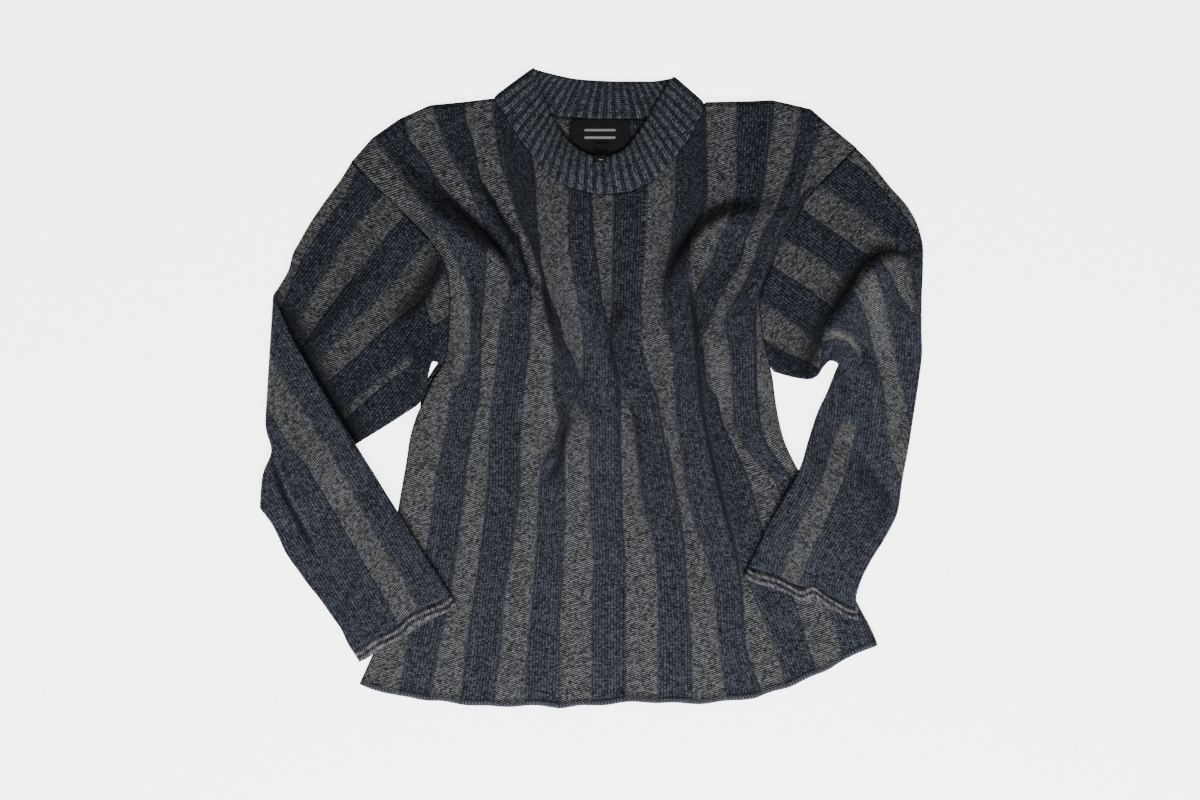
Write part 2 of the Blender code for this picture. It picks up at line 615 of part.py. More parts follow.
def neckband(front, back):
    """A closed ribbed band: its front half lies over its back half."""
    front_edge = front[0, :, :2]
    inside = (front_edge[:, 0] > 494.0) & (front_edge[:, 0] < 704.0)
    front_edge = front_edge[inside]
    back_edge = back[0, :, :2]
    inside = (back_edge[:, 0] > 494.0) & (back_edge[:, 0] < 704.0)
    back_edge = back_edge[inside][::-1]
    half = BAND_WALL / 2.0
    z_back = BAND_RIB + half
    z_front = BACK_TOP + LAYER_GAP + 1.2 + half
    radius = 0.5 * (z_front - z_back)
    roll = 3
    front_count = 2 * int(290.0 / BAND_PITCH) + 1
    back_count = 2 * int(210.0 / BAND_PITCH) + 1
    ends = []
    for edge, top, count, z in ((front_edge, NECK_TOP_FRONT, front_count, z_front),
                                (back_edge, NECK_TOP_BACK, back_count, z_back)):
        share = np.linspace(0.0, 1.0, count)
        ends.append((along(edge, share), along(top, share), z))
    lines = []
    for (low, high, z), (low2, high2, _), turn in ((ends[0], ends[1], -1.0),
                                                   (ends[1], ends[0], 1.0)):
        for a, b in zip(low, high):
            lines.append((a, b, z, None))
        fold = high[-1] - low[-1]
        fold = fold / np.hypot(*fold)
        away = np.array((-fold[1], fold[0]))
        middle = 0.5 * (low.mean(axis=0) + high.mean(axis=0))
        if away @ (low[-1] - middle) < 0.0:
            away = -away
        for k in range(1, roll + 1):
            angle = math.pi * k / (roll + 1)
            bulge = away * radius * math.sin(angle)
            height = 0.5 * (z_front + z_back) - turn * radius * math.cos(angle)
            lines.append((low[-1] + bulge, high[-1] + bulge, height, away))
    return lines, z_front, z_back


def build_neckband(front, back):
    lines, z_front, z_back = neckband(front, back)
    across = np.array((0.0, 0.25, 0.6, 1.0))
    middle = np.empty((len(lines), len(across), 3))
    for r, (low, high, z, _) in enumerate(lines):
        length = np.hypot(*(high - low))
        share = (BAND_GAP + (length - BAND_GAP) * across) / length
        middle[r, :, :2] = low + np.outer(share, high - low)
        middle[r, :, 2] = z
    normal = grid_normals(middle, True, False)
    level = (z_front + z_back) / 2.0
    flip = np.sign(np.sum(normal[:, :, 2] * (middle[:, :, 2] - level)))
    normal *= flip
    inner = middle - normal * BAND_WALL / 2.0
    front_face = np.where(middle[:, :, 2:] > level, 1.0, 0.4)
    raised = (np.arange(len(lines)) % 2)[:, None, None] * BAND_RIB * front_face
    soft = np.array((0.0, 1.0, 1.0, 0.4))[None, :, None]
    outer = middle + normal * (BAND_WALL / 2.0 + raised * soft)
    wall("neckband", outer, inner, (0.16, 0.18, 0.22), wrap_rows=True)


def woven_label():
    """A small cloth label on the inside of the back, its lower part under the collar."""
    y = np.array((119.0, 123.0, 134.0, 146.0, 160.0))
    x0 = np.array((573.0, 570.0, 570.0, 570.0, 570.0))
    x1 = np.array((627.0, 630.0, 630.0, 630.0, 630.0))
    share = np.linspace(0.0, 1.0, 5)
    x = x0[:, None] + (x1 - x0)[:, None] * share
    z = BACK_TOP + 0.9 * np.ones_like(x)
    top = np.stack([x, y[:, None] * np.ones_like(x), z], axis=2)
    low = top.copy()
    low[:, :, 2] -= 0.6
    wall("label", top, low, (0.02, 0.02, 0.022))


def size_tab():
    """A small tab that hangs from the label over the collar's edge."""
    y = np.array((143.0, 149.0, 153.5, 155.6, 157.5, 163.0))
    base = np.array((3.3, 3.3, 4.8, 6.9, 7.4, 7.2))
    share = np.linspace(0.0, 1.0, 3)
    x = 595.0 + 12.0 * share[None, :] * np.ones((len(y), 1))
    middle = np.stack([x, y[:, None] * np.ones_like(x), base[:, None] + np.zeros_like(x)], axis=2)
    normal = grid_normals(middle, False, False)
    normal *= np.sign(normal[:, :, 2:3])
    wall("size_tab", middle + 0.3 * normal, middle - 0.3 * normal, (0.02, 0.02, 0.022))


front_grid = front_panel()
back_grid = back_panel()
build_neckband(front_grid, back_grid)
woven_label()
size_tab()
sleeve("right_sleeve", RIGHT_ROWS, armhole_edge(front_grid, -1), -1, lay_right)
sleeve("left_sleeve", LEFT_ROWS, armhole_edge(front_grid, 1), 1, lay_left)
cuff("right_cuff", RIGHT_ROWS, -1, lay_right, -1.0)
cuff("left_cuff", LEFT_ROWS, 1, lay_left, 1.0)
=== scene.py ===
"""Looks of the striped rib knit sweater: cloth shells, seams, stitches, light and camera.

Plan sizes are millimetres, x to the right and y from the shoulders down to the hem.
"""

import math

import bpy
import numpy as np
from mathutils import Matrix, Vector, noise


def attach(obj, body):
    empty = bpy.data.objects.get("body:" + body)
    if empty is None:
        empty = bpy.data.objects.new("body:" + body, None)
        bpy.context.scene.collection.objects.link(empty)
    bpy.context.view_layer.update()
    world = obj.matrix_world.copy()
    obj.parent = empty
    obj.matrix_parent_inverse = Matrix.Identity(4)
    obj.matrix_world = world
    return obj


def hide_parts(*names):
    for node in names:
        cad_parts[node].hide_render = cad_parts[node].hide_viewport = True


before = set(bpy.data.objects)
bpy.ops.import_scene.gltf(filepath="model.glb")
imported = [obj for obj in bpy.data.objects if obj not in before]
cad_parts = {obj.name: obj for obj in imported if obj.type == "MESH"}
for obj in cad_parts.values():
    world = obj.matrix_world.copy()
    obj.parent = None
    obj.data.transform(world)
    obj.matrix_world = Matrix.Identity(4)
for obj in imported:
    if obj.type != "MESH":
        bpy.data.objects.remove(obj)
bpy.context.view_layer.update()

MM = 0.001
# The plan point that lies in the middle of the row frame.
CENTRE_X = 591.7
CENTRE_Y = 387.42
# The cloth's thickness, the gaps between its layers and the heights that they lie at.
CLOTH = 1.4
LAYER_GAP = 0.4
SEAM_GAP = -0.5
BACK_TOP = 2.0
FRONT_TOP = 4.4
SLEEVE_TOP = 4.8
# The elbow fold of the wearer's right sleeve, and where its forearm comes down again.
PIVOT_HEIGHT = 5.1
FOLD_ARC = 8.0
NOTCH = 8.0
NOTCH_X = 266.0
NOTCH_Y = 451.0
NOTCH_WIDE = 22.0
NOTCH_TALL = 16.0
LAID_BASE = 5.4
LAID_HOLD = 12.0
LAID_FALL = 34.0
# The collar's wall, the height of its ribs and how far it reaches under the seam.
BAND_WALL = 2.2
BAND_RIB = 0.7
BAND_GAP = -0.8
BAND_PITCH = 10.0
BAND_STEPS = 14
# The wide ribs of the body.
RIB_COUNT = 17
RIB_WIDTH = 32.5
RIB_CROWN = 0.5
RIB_SLOPE = 5.0
PANEL_WIDTH = RIB_COUNT * RIB_WIDTH
SIDE_SEAM = 9.5
# Distances from a seam or the hem count no farther than this.
FAR = 20.0

# Where the edges of the wide ribs lie at a given y, with the panel's two edges.
TRACK_U = [RIB_WIDTH * k for k in range(RIB_COUNT + 1)]
TRACKS = np.array([
    # y, then the x of the left edge, of each rib's edges and of the right edge
    (60, 247, 310, 392, 428, 460, 490, 529, 568, 592,
     614, 648, 676, 706, 737, 778, 808, 860, 945),
    (100, 288, 345, 400, 434, 464, 493.5, 530, 568.5, 592,
     614, 648, 676, 706, 737, 774.5, 803, 835, 905),
    (120, 308, 362, 404, 437.5, 466, 495, 531, 569, 592,
     614, 648, 676, 706, 737, 773, 800, 825, 885),
    (140, 329, 377, 410, 444, 473, 497.5, 532, 569, 592,
     614, 648, 676, 706.5, 737, 770, 797, 817, 865),
    (160, 349.5, 392, 425.5, 454, 477, 500, 533, 569, 592,
     614, 648, 676, 707, 737, 767, 793.5, 809, 845),
    (180, 370, 407, 437.5, 466, 481, 507, 535.5, 569, 592,
     614, 647.5, 675.5, 707.5, 736.5, 764.5, 787.5, 803, 825),
    (200, 390, 421, 454, 476, 494, 512, 536, 569, 592,
     614, 647, 675, 707, 735, 761, 780, 797, 806),
    (220, 411, 433, 469, 483, 503, 518, 537, 569, 592.5,
     614, 646, 673.5, 700, 729, 754, 771, 787, 794),
    (240, 430, 447, 483, 489, 520, 529, 539.5, 569, 594,
     613.5, 645, 672, 689, 719, 745.5, 760, 776, 782),
    (260, 443, 458, 487.5, 507, 524, 536, 541, 570.5, 597,
     613, 643.5, 668, 689, 712, 741, 755, 770, 774.5),
    (280, 448, 467.5, 485.5, 512, 530, 542, 545.5, 574, 600,
     613, 642, 664.5, 691, 702, 730, 747, 763, 766),
    (300, 449, 472, 484, 508, 532, 543.5, 551, 578, 602,
     613, 641, 662.5, 692, 694, 718.5, 735, 757, 760),
    (320, 448.5, 472, 482, 502, 530, 547, 560, 580.5, 607,
     611.5, 641.5, 664, 694, 696, 710, 725, 756, 762),
    (340, 447.5, 472, 481, 500, 530, 553, 564, 583.5, 609,
     611, 641, 670, 696, 698, 702, 728, 756, 764),
    (360, 444, 469, 481, 498, 528, 553.5, 574, 584, 613,
     615, 645, 674, 698, 700, 704, 732, 756.5, 769),
    (380, 432.5, 461, 480.5, 496, 525, 553, 580, 583, 617,
     619, 650, 674, 700, 702, 706, 732, 757, 773),
    (400, 423.5, 450.5, 479, 493.5, 523, 554.5, 574, 576, 620.5,
     631, 658, 676, 701, 703, 717.5, 734, 758, 775.5),
    (420, 415, 448, 474, 491, 521.5, 559, 568, 590, 620.5,
     634, 661, 676, 705, 707, 722, 735, 760, 779),
    (440, 409.5, 444, 471, 490.5, 520, 555, 565, 590.5, 620.5,
     636.5, 664.5, 680.5, 709, 711, 731, 743, 765, 784),
    (460, 406.5, 440, 467.5, 489.5, 520, 544, 564.5, 590, 621,
     639, 670, 683, 714, 716, 740, 756, 778, 793),
    (480, 403, 437, 465, 488, 520, 540.5, 565, 590, 622,
     641, 674, 685.5, 718, 720, 749, 776, 793, 804),
    (520, 396, 431.5, 460.5, 485, 516, 538.5, 565, 592, 622.5,
     648, 681, 694.5, 727.5, 729.5, 760, 786, 806, 818),
    (560, 388, 425, 455, 479.5, 510, 536, 562.5, 594, 625,
     656.5, 685.5, 708.5, 738, 740.5, 775, 804, 833, 836),
    (600, 383, 417.5, 449, 474, 504, 533, 560.5, 592, 625,
     658.5, 687.5, 716, 743, 757, 794, 824, 853.5, 856),
    (640, 377, 409.5, 440, 468, 501, 529, 559.5, 592, 625,
     658.5, 691, 719.5, 745, 773, 806, 840, 873.5, 876),
    (690, 357, 400, 431, 462, 495, 526, 559, 592, 625,
     658.5, 692, 726, 760, 789, 821, 845, 887.5, 890),
    (710, 350, 396, 427, 459, 492, 525, 559, 592, 625,
     659, 692.5, 728, 764, 794, 828, 848, 890.5, 893),
], float)

# The panels' upper and lower edges, each from left to right.
SHOULDER_LEFT = [(351, 162), (372, 138), (399, 119), (430, 105), (462, 102)]
SHOULDER_RIGHT = [(750, 101), (772, 100), (790, 104), (811, 109), (834, 129), (857, 148)]
NECK_FRONT = [(495, 98), (508, 118), (521, 139), (534, 157), (550, 173), (570, 187),
              (600, 194), (630, 191), (653, 180), (672, 160), (690, 136), (701, 113), (703, 102)]
NECK_CORNERS = [(495.5, 98), (508, 118), (521, 139), (690, 136), (701, 113), (702.5, 102)]
NECK_BACK = [(495, 98), (525, 110), (555, 115), (600, 118), (650, 117), (682, 110.5),
             (698, 105.5), (703, 103.5)]
HEM = [(340, 673), (362, 684), (385, 692), (400, 696.5), (430, 702), (470, 704), (500, 706.5),
       (560, 708), (580, 705), (620, 703.5), (660, 703.5), (700, 702.5), (740, 701), (756, 699),
       (770, 694), (800, 681), (830, 669), (850, 659), (878, 644.5), (900, 632.5)]

# Folds: path points with their height, then how far each side of the path spreads.
FOLDS = [
    ("left shoulder", [(392, 170, 3), (425, 205, 10), (470, 238, 14), (498, 262, 14),
                       (507, 290, 13), (501, 340, 9), (495, 395, 3)], 8, 26),
    ("second", [(470, 175, 2), (492, 215, 6), (512, 245, 8), (525, 275, 7),
                (533, 320, 4), (538, 350, 0)], 7, 14),
    ("third", [(533, 255, 1), (541, 300, 5), (552, 340, 5), (565, 380, 0)], 7, 13),
    ("centre", [(637, 300, 0), (615, 325, 6), (609, 345, 6), (616, 370, 5), (628, 395, 0)],
     8, 16),
    ("chest arc", [(765, 212, 3), (748, 215, 9), (722, 222, 13), (702, 236, 13), (689, 258, 12),
                   (682, 285, 8), (680, 318, 2)], 26, 9),
    ("long right", [(693, 275, 6), (695, 316, 9), (698, 353, 9), (704, 402, 8), (719, 471, 6),
                    (735, 536, 4), (746, 568, 0)], 7, 20),
    ("right armpit", [(800, 172, 1), (772, 212, 6), (755, 245, 7), (735, 285, 6),
                      (712, 330, 2)], 14, 8),
    ("left side", [(452, 262, 1), (468, 300, 6), (470, 340, 6), (450, 375, 5),
                   (432, 420, 1)], 9, 9),
    ("bottom crease", [(585, 408, 1), (567, 432, 6), (553, 458, 6), (543, 485, 1)], 8, 18),
    ("right low edge", [(752, 395, 0), (768, 425, 4), (782, 452, 3), (788, 470, 0)], 9, 9),
    ("lower left", [(520, 420, 0), (506, 500, 2.5), (496, 580, 2.5), (480, 670, 0)], 28, 28),
    ("lower middle", [(590, 480, 0), (585, 560, 2), (588, 630, 2), (590, 680, 0)], 24, 24),
    ("lower right", [(640, 420, 0), (652, 500, 2.5), (660, 580, 2.5), (668, 670, 0)], 26, 26),
    ("shoulder line", [(500, 120, 0), (512, 160, 2), (520, 205, 2), (524, 250, 0)], 5, 9),
]
# Narrow valleys: path points with their depth, about 0 to 1, then each side's spread. The depth
# sinks the cloth and also sets the painted shade along the valley.
VALLEYS = [
    ([(392, 152, 0.1), (410, 165, 0.4), (430, 183, 0.6), (445, 197, 0.7), (462, 212, 0.9),
      (478, 226, 1), (492, 240, 1), (503, 254, 1), (514, 272, 0.6), (520, 290, 0)], 7, 3),
    ([(478, 172, 0.1), (486, 190, 0.5), (497, 207, 0.6), (508, 226, 0.6), (517, 245, 0.7),
      (524, 262, 0.8), (532, 282, 0.8), (545, 290, 0.6), (551, 310, 0.5), (556, 342, 0)], 3, 3),
    ([(750, 203, 0), (738, 208, 0.5), (722, 213, 0.8), (708, 221, 1), (695, 233, 1),
      (683, 248, 1), (673, 262, 0.9), (666, 280, 0.7), (664, 298, 0.2)], 3, 9),
    ([(795, 190, 0.1), (788, 203, 0.3), (775, 215, 0.4), (765, 240, 0.4), (757, 262, 0.4),
      (747, 280, 0.4), (738, 298, 0.4), (725, 322, 0.1)], 6, 5),
    ([(690, 284, 0.3), (694, 310, 1), (697, 335, 1), (699, 360, 0.8), (701, 390, 0.7),
      (705, 420, 0.7), (712, 455, 0.7), (719, 483, 0.7), (728, 520, 0.6), (738, 560, 0.4),
      (745, 574, 0)], 3, 3),
    ([(612, 303, 0.2), (611, 340, 0.8), (614, 361, 0.8), (618, 378, 0.7), (622, 395, 0.7),
      (630, 405, 0.6), (638, 418, 0.6), (641, 447, 0.5), (644, 496, 0.3), (653, 534, 0)], 3, 3),
    ([(618, 296, 0), (618, 318, 0.5), (617, 344, 0)], 9, 9),
    ([(582, 408, 0.2), (571, 422, 0.7), (565, 432, 0.9), (562, 447, 1), (559, 464, 1),
      (552, 474, 0.8), (545, 482, 0.1)], 4, 5),
    ([(700, 350, 0.5), (712, 342, 0.6), (728, 332, 0.3)], 5, 4),
]
# Crests with a painted highlight: path points with their strength, then the spread.
CRESTS = [
    ([(566, 255, 0), (575, 290, 0.7), (588, 330, 0.8), (597, 365, 0.4), (600, 385, 0)], 9),
    ([(712, 345, 0.6), (718, 370, 0.8), (720, 400, 0.3), (722, 425, 0)], 10),
    ([(458, 270, 0.2), (463, 300, 0.6), (462, 335, 0.5), (455, 362, 0)], 8),
    ([(535, 385, 0), (548, 408, 0.6), (560, 402, 0.3)], 14),
    ([(758, 376, 0.5), (772, 400, 0.7), (785, 430, 0.4), (795, 452, 0)], 6),
    ([(700, 232, 0.2), (715, 226, 0.4), (735, 224, 0.3), (752, 222, 0)], 8),
    ([(592, 410, 0), (600, 430, 0.4), (598, 480, 0.3), (596, 540, 0)], 12),
]
# The sleeves' crests carry a painted highlight and their valleys painted shade, listed in the same
# way; the valleys also sink the cloth.
LEFT_CRESTS = [
    ([(848, 438, 0.2), (864, 452, 0.6), (881, 470, 0.6), (895, 490, 0.6), (898, 504, 0.2)], 5),
    ([(862, 272, 0.2), (872, 290, 0.6), (880, 330, 0.6), (885, 370, 0.2)], 9),
    ([(826, 332, 0.6), (845, 334, 0.6), (858, 350, 0.4)], 5),
]
RIGHT_UPPER_VALLEYS = [
    ([(442, 252, 0.6), (438, 266, 1.2), (433, 280, 1.4), (425, 296, 1.4), (413, 308, 1.3),
      (402, 316, 0.8), (392, 326, 0.3)], 5, 13),
    ([(400, 336, 0.3), (410, 345, 0.7), (417, 358, 0.8), (418, 374, 0.8), (415, 390, 0.6)],
     2.5, 4),
    ([(424, 322, 0.2), (430, 338, 0.5), (432, 352, 0.4)], 3, 3),
    ([(380, 258, 0.1), (362, 280, 0.4), (345, 300, 0.6), (330, 322, 0.9), (312, 338, 0.9),
      (298, 350, 0.7)], 5, 7),
    ([(400, 338, 0.4), (360, 370, 0.5), (325, 398, 0.4)], 2, 2),
    ([(418, 385, 0.5), (390, 398, 0.5), (358, 412, 0.4)], 2, 2),
    ([(264, 296, 0.4), (278, 318, 1.4), (290, 335, 1.6), (303, 355, 1.2), (315, 375, 1),
      (325, 395, 1), (342, 420, 1), (362, 446, 0.9)], 16, 16),
    ([(434, 366, 0.8), (436, 378, 0.8), (428, 392, 0.9), (418, 404, 0.7)], 5, 5),
]
RIGHT_FOREARM_CRESTS = [
    ([(275, 449, 0.6), (282, 473, 1.2), (290, 495, 1.4), (300, 514, 1.4), (312, 536, 1.1),
      (319, 552, 0.4)], 2.5),
]
RIGHT_FOREARM_VALLEYS = [
    ([(271, 452, 0.3), (278, 476, 0.8), (286, 498, 0.9), (296, 517, 0.9), (307, 538, 0.7),
      (313, 554, 0)], 9, 3),
]
LEFT_VALLEYS = [
    ([(912, 258, 0.3), (895, 252, 0.6), (880, 254, 0.8), (866, 265, 0.9), (856, 279, 1),
      (843, 296, 1), (832, 312, 1), (823, 326, 1), (818, 342, 1), (812, 358, 0.9),
      (806, 372, 0.9)], 5, 13),
    ([(906, 262, 0.4), (915, 290, 0.6), (915, 330, 0.5)], 3, 3),
    ([(770, 350, 0.3), (790, 360, 0.6), (806, 362, 0.8)], 8, 10),
    ([(862, 345, 0.3), (863, 360, 0.7), (864, 378, 0.2)], 3, 3),
    ([(840, 370, 0.7), (843, 386, 0.8), (845, 404, 0.3)], 6, 6),
    ([(904, 420, 0.4), (908, 440, 0.6), (904, 458, 0.2)], 5, 5),
    ([(850, 448, 0.3), (864, 461, 0.6), (876, 477, 0.75), (888, 495, 0.85), (887, 512, 0.6),
      (876, 528, 0.3)], 3, 17),
]
RIGHT_UPPER_FOLDS = [
    ("underarm roll", [(404, 338, 2), (415, 352, 5), (424, 370, 5), (424, 388, 2)], 9, 9),
    ("elbow pull", [(372, 262, 0), (352, 292, 4), (330, 318, 4), (312, 333, 1)], 14, 9),
    ("outer pull", [(290, 262, 0), (305, 290, 2), (312, 330, 0)], 8, 8),
]
RIGHT_FOREARM_FOLDS = [
    ("lap edge", [(281, 400, 1), (291, 450, 5), (307, 500, 6), (320, 545, 3), (330, 575, 0)],
     20, 8),
    ("forearm swell", [(300, 330, 0), (330, 420, 3), (368, 510, 3), (395, 580, 0)], 26, 26),
    ("small ridge", [(292, 420, 0), (300, 460, 1.5), (318, 510, 0)], 8, 6),
]
LEFT_FOLDS = [
    ("elbow arc", [(908, 262, 3), (888, 262, 9), (872, 272, 12), (858, 290, 13), (845, 312, 13),
                   (835, 332, 11), (833, 344, 5)], 34, 10),
    ("outer step", [(905, 268, 2), (912, 300, 6), (911, 330, 3), (908, 350, 0)], 14, 8),
    ("diagonal lap", [(862, 350, 0), (874, 380, 6), (886, 420, 6), (896, 460, 5),
                      (890, 490, 1)], 14, 8),
    ("hook roll", [(846, 340, 3), (858, 352, 5), (861, 370, 4), (852, 392, 1)], 9, 9),
    ("low swell", [(835, 440, 0), (820, 490, 3), (800, 540, 3), (790, 565, 0)], 22, 22),
    ("small pull", [(880, 300, 0), (884, 340, 1.5), (880, 372, 0)], 8, 6),
]

# Grey ribs of the wearer's left sleeve: middle line with half widths.
LEFT_UPPER_GREY = [
    [(848, 152, 6), (875, 172, 6), (905, 206, 6), (925, 232, 7)],
    [(800, 178, 15), (815, 200, 15), (842, 218, 16), (876, 243, 15), (910, 270, 15)],
    [(765, 243, 14), (784, 256, 15), (812, 272, 16), (834, 290, 15), (860, 310, 15)],
    [(752, 312, 14), (773, 327, 15), (792, 340, 14), (810, 350, 12), (830, 362, 12)],
]
LEFT_LOWER_GREY = [
    [(884, 250, 10), (898, 268, 11), (906, 290, 9), (913, 308, 4), (917, 322, 0.5)],
    [(858, 275, 13), (869, 294, 13), (877, 318, 11), (883, 345, 11), (889, 375, 10),
     (896, 405, 11), (898, 430, 12), (899, 455, 9), (902, 474, 3), (904, 484, 0)],
    [(822, 338, 4), (835, 334, 5), (848, 338, 4), (857, 349, 3), (861, 362, 1)],
    [(848, 430, 9), (844, 440, 10), (841, 452, 11), (832, 480, 11), (820, 505, 11),
     (809, 528, 12), (800, 550, 11), (789, 580, 10), (780, 600, 10)],
]


def pchip_slopes(x, y):
    """Slopes that keep a cubic through the points free of overshoot."""
    h = np.diff(x)[:, None]
    d = np.diff(y, axis=0) / h
    m = np.empty_like(y)
    m[0] = d[0]
    m[-1] = d[-1]
    w1 = 2.0 * h[1:] + h[:-1]
    w2 = h[1:] + 2.0 * h[:-1]
    same = d[:-1] * d[1:] > 1e-12
    safe0 = np.where(same, d[:-1], 1.0)
    safe1 = np.where(same, d[1:], 1.0)
    m[1:-1] = np.where(same, (w1 + w2) / (w1 / safe0 + w2 / safe1), 0.0)
    return m


def pchip(x, y, at):
    """Smooth values at the places asked for; y may hold several columns."""
    x = np.asarray(x, float)
    y = np.asarray(y, float)
    flat = y.ndim == 1
    y = y[:, None] if flat else y
    m = pchip_slopes(x, y)
    at = np.clip(np.asarray(at, float), x[0], x[-1])
    k = np.clip(np.searchsorted(x, at, side="right") - 1, 0, len(x) - 2)
    h = (x[k + 1] - x[k])[:, None]
    t = ((at - x[k])[:, None]) / h
    out = ((2 * t**3 - 3 * t**2 + 1) * y[k] + (t**3 - 2 * t**2 + t) * h * m[k]
           + (3 * t**2 - 2 * t**3) * y[k + 1] + (t**3 - t**2) * h * m[k + 1])
    return out[:, 0] if flat else out


def ease(t):
    """A soft step from 0 to 1."""
    t = np.clip(t, 0.0, 1.0)
    return t * t * (3.0 - 2.0 * t)


def along(points, share):
    """Points at the given shares of a polyline's length."""
    points = np.asarray(points, float)
    steps = np.hypot(*np.diff(points[:, :2], axis=0).T)
    run = np.concatenate([[0.0], np.cumsum(steps)])
    share = np.asarray(share) * run[-1]
    return np.stack([np.interp(share, run, points[:, i]) for i in range(points.shape[1])], axis=-1)


def near_path(path, x, y):
    """Distance to a path, the side it lies on, and the path's third value there."""
    path = np.asarray(path, float)
    best = np.full(np.shape(x), 1e9)
    side = np.zeros(np.shape(x))
    tall = np.zeros(np.shape(x))
    for (x0, y0, h0), (x1, y1, h1) in zip(path[:-1], path[1:]):
        dx = x1 - x0
        dy = y1 - y0
        t = np.clip(((x - x0) * dx + (y - y0) * dy) / (dx * dx + dy * dy), 0.0, 1.0)
        away = np.hypot(x - x0 - t * dx, y - y0 - t * dy)
        near = away < best
        best = np.where(near, away, best)
        side = np.where(near, dx * (y - y0) - dy * (x - x0), side)
        tall = np.where(near, h0 + (h1 - h0) * t, tall)
    return best, side, tall


def line_mark(distance, width):
    """A soft mark where a distance is near zero."""
    return np.exp(-((distance / width) ** 2))


def fold_height(folds, x, y):
    """Height that the named folds add at plan points."""
    total = np.zeros(np.shape(x))
    for _, path, left, right in folds:
        best, side, tall = near_path(path, x, y)
        spread = np.where(side < 0.0, left, right)
        total = total + tall * line_mark(best, spread)
    return total


def crease_shade(valleys, x, y):
    """How deep the narrow valleys between the folds lie, from 0 to 1; this sets both how far the
    cloth sinks and how dark the painted shade is there.
    """
    deep = np.zeros(np.shape(x))
    for path, left, right in valleys:
        best, side, strength = near_path(path, x, y)
        spread = np.where(side < 0.0, left, right)
        deep = np.maximum(deep, strength * line_mark(best, spread))
    return deep


def crest_light(crests, x, y):
    """Strength of the painted highlight on the folds' crests, from 0 to 1."""
    high = np.zeros(np.shape(x))
    for path, spread in crests:
        best, _, strength = near_path(path, x, y)
        high = np.maximum(high, strength * line_mark(best, spread))
    return high


def ripple(x, y, size, seed):
    """Soft uneven swells, about one unit high, the same each time."""
    flat = [noise.noise(Vector((px / size, py / size, seed)))
            for px, py in zip(np.ravel(x), np.ravel(y))]
    return np.array(flat).reshape(np.shape(x))


def grid_normals(p, wrap_rows, wrap_cols):
    """Unit normals of a grid of points."""
    def step(axis, wrap):
        if wrap:
            return np.roll(p, -1, axis) - np.roll(p, 1, axis)
        return np.gradient(p, axis=axis)
    n = np.cross(step(0, wrap_rows), step(1, wrap_cols))
    return n / np.maximum(np.linalg.norm(n, axis=2, keepdims=True), 1e-9)


def to_world(points):
    """Plan millimetres to metres in the row frame."""
    points = np.asarray(points, float)
    return np.stack([points[..., 0] - CENTRE_X, CENTRE_Y - points[..., 1], points[..., 2]],
                    axis=-1) * MM


def rim(a, b, shift, turned):
    """Faces that close a shell's edge between its outer and its inner points."""
    side = np.stack([a, a + shift, b + shift, b], axis=-1)
    return side[:, ::-1] if turned else side


def shell_faces(rows, cols, wrap_rows, wrap_cols):
    """Faces of a closed shell whose outer points come first and its inner points after them."""
    index = np.arange(rows * cols).reshape(rows, cols)
    shift = rows * cols
    r = np.arange(rows if wrap_rows else rows - 1)
    c = np.arange(cols if wrap_cols else cols - 1)
    r0, c0 = np.meshgrid(r, c, indexing="ij")
    r1 = (r0 + 1) % rows
    c1 = (c0 + 1) % cols
    quad = np.stack([index[r0, c0], index[r0, c1], index[r1, c1], index[r1, c0]], axis=-1)
    quad = quad.reshape(-1, 4)
    parts = [quad, quad[:, ::-1] + shift]
    if not wrap_rows:
        for row, turned in ((0, False), (rows - 1, True)):
            parts.append(rim(index[row, c], index[row, (c + 1) % cols], shift, turned))
    if not wrap_cols:
        for col, turned in ((0, True), (cols - 1, False)):
            parts.append(rim(index[r, col], index[(r + 1) % rows, col], shift, turned))
    return np.concatenate(parts)


def facing_out(points, faces):
    """The faces, turned round where they enclose a volume below zero."""
    a, b, c, d = (points[faces[:, k]] for k in range(4))
    volume = np.einsum("ij,ij->i", a, np.cross(b, c)).sum()
    volume += np.einsum("ij,ij->i", a, np.cross(c, d)).sum()
    return faces[:, ::-1] if volume < 0.0 else faces


def shell(name, node, material, outer, inner, knit, facts, wrap_rows=False, wrap_cols=False):
    """A closed thin cloth shell. knit holds across and along positions of its stitches."""
    points = to_world(np.concatenate([outer.reshape(-1, 3), inner.reshape(-1, 3)]))
    faces = facing_out(points, shell_faces(*outer.shape[:2], wrap_rows, wrap_cols))
    mesh = bpy.data.meshes.new(name)
    mesh.vertices.add(len(points))
    mesh.vertices.foreach_set("co", points.astype(np.float32).ravel())
    mesh.loops.add(faces.size)
    mesh.loops.foreach_set("vertex_index", faces.astype(np.int32).ravel())
    mesh.polygons.add(len(faces))
    mesh.polygons.foreach_set("loop_start", np.arange(0, faces.size, 4, dtype=np.int32))
    mesh.update(calc_edges=True)
    mesh.validate()
    mesh.polygons.foreach_set("use_smooth", np.ones(len(faces), bool))
    flat_knit = np.concatenate([knit.reshape(-1, 2)] * 2)
    layer = mesh.uv_layers.new(name="knit")
    layer.data.foreach_set("uv", (flat_knit[faces.ravel()] * MM).astype(np.float32).ravel())
    for fact, values in facts.items():
        pair = values if isinstance(values, tuple) else (values, values)
        flat = np.concatenate([np.ravel(side) for side in pair])
        attribute = mesh.attributes.new(fact, "FLOAT", "POINT")
        attribute.data.foreach_set("value", flat.astype(np.float32))
    piece = bpy.data.objects.new(name, mesh)
    bpy.context.scene.collection.objects.link(piece)
    mesh.materials.append(material)
    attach(piece, "root")
    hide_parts(node)
    return piece


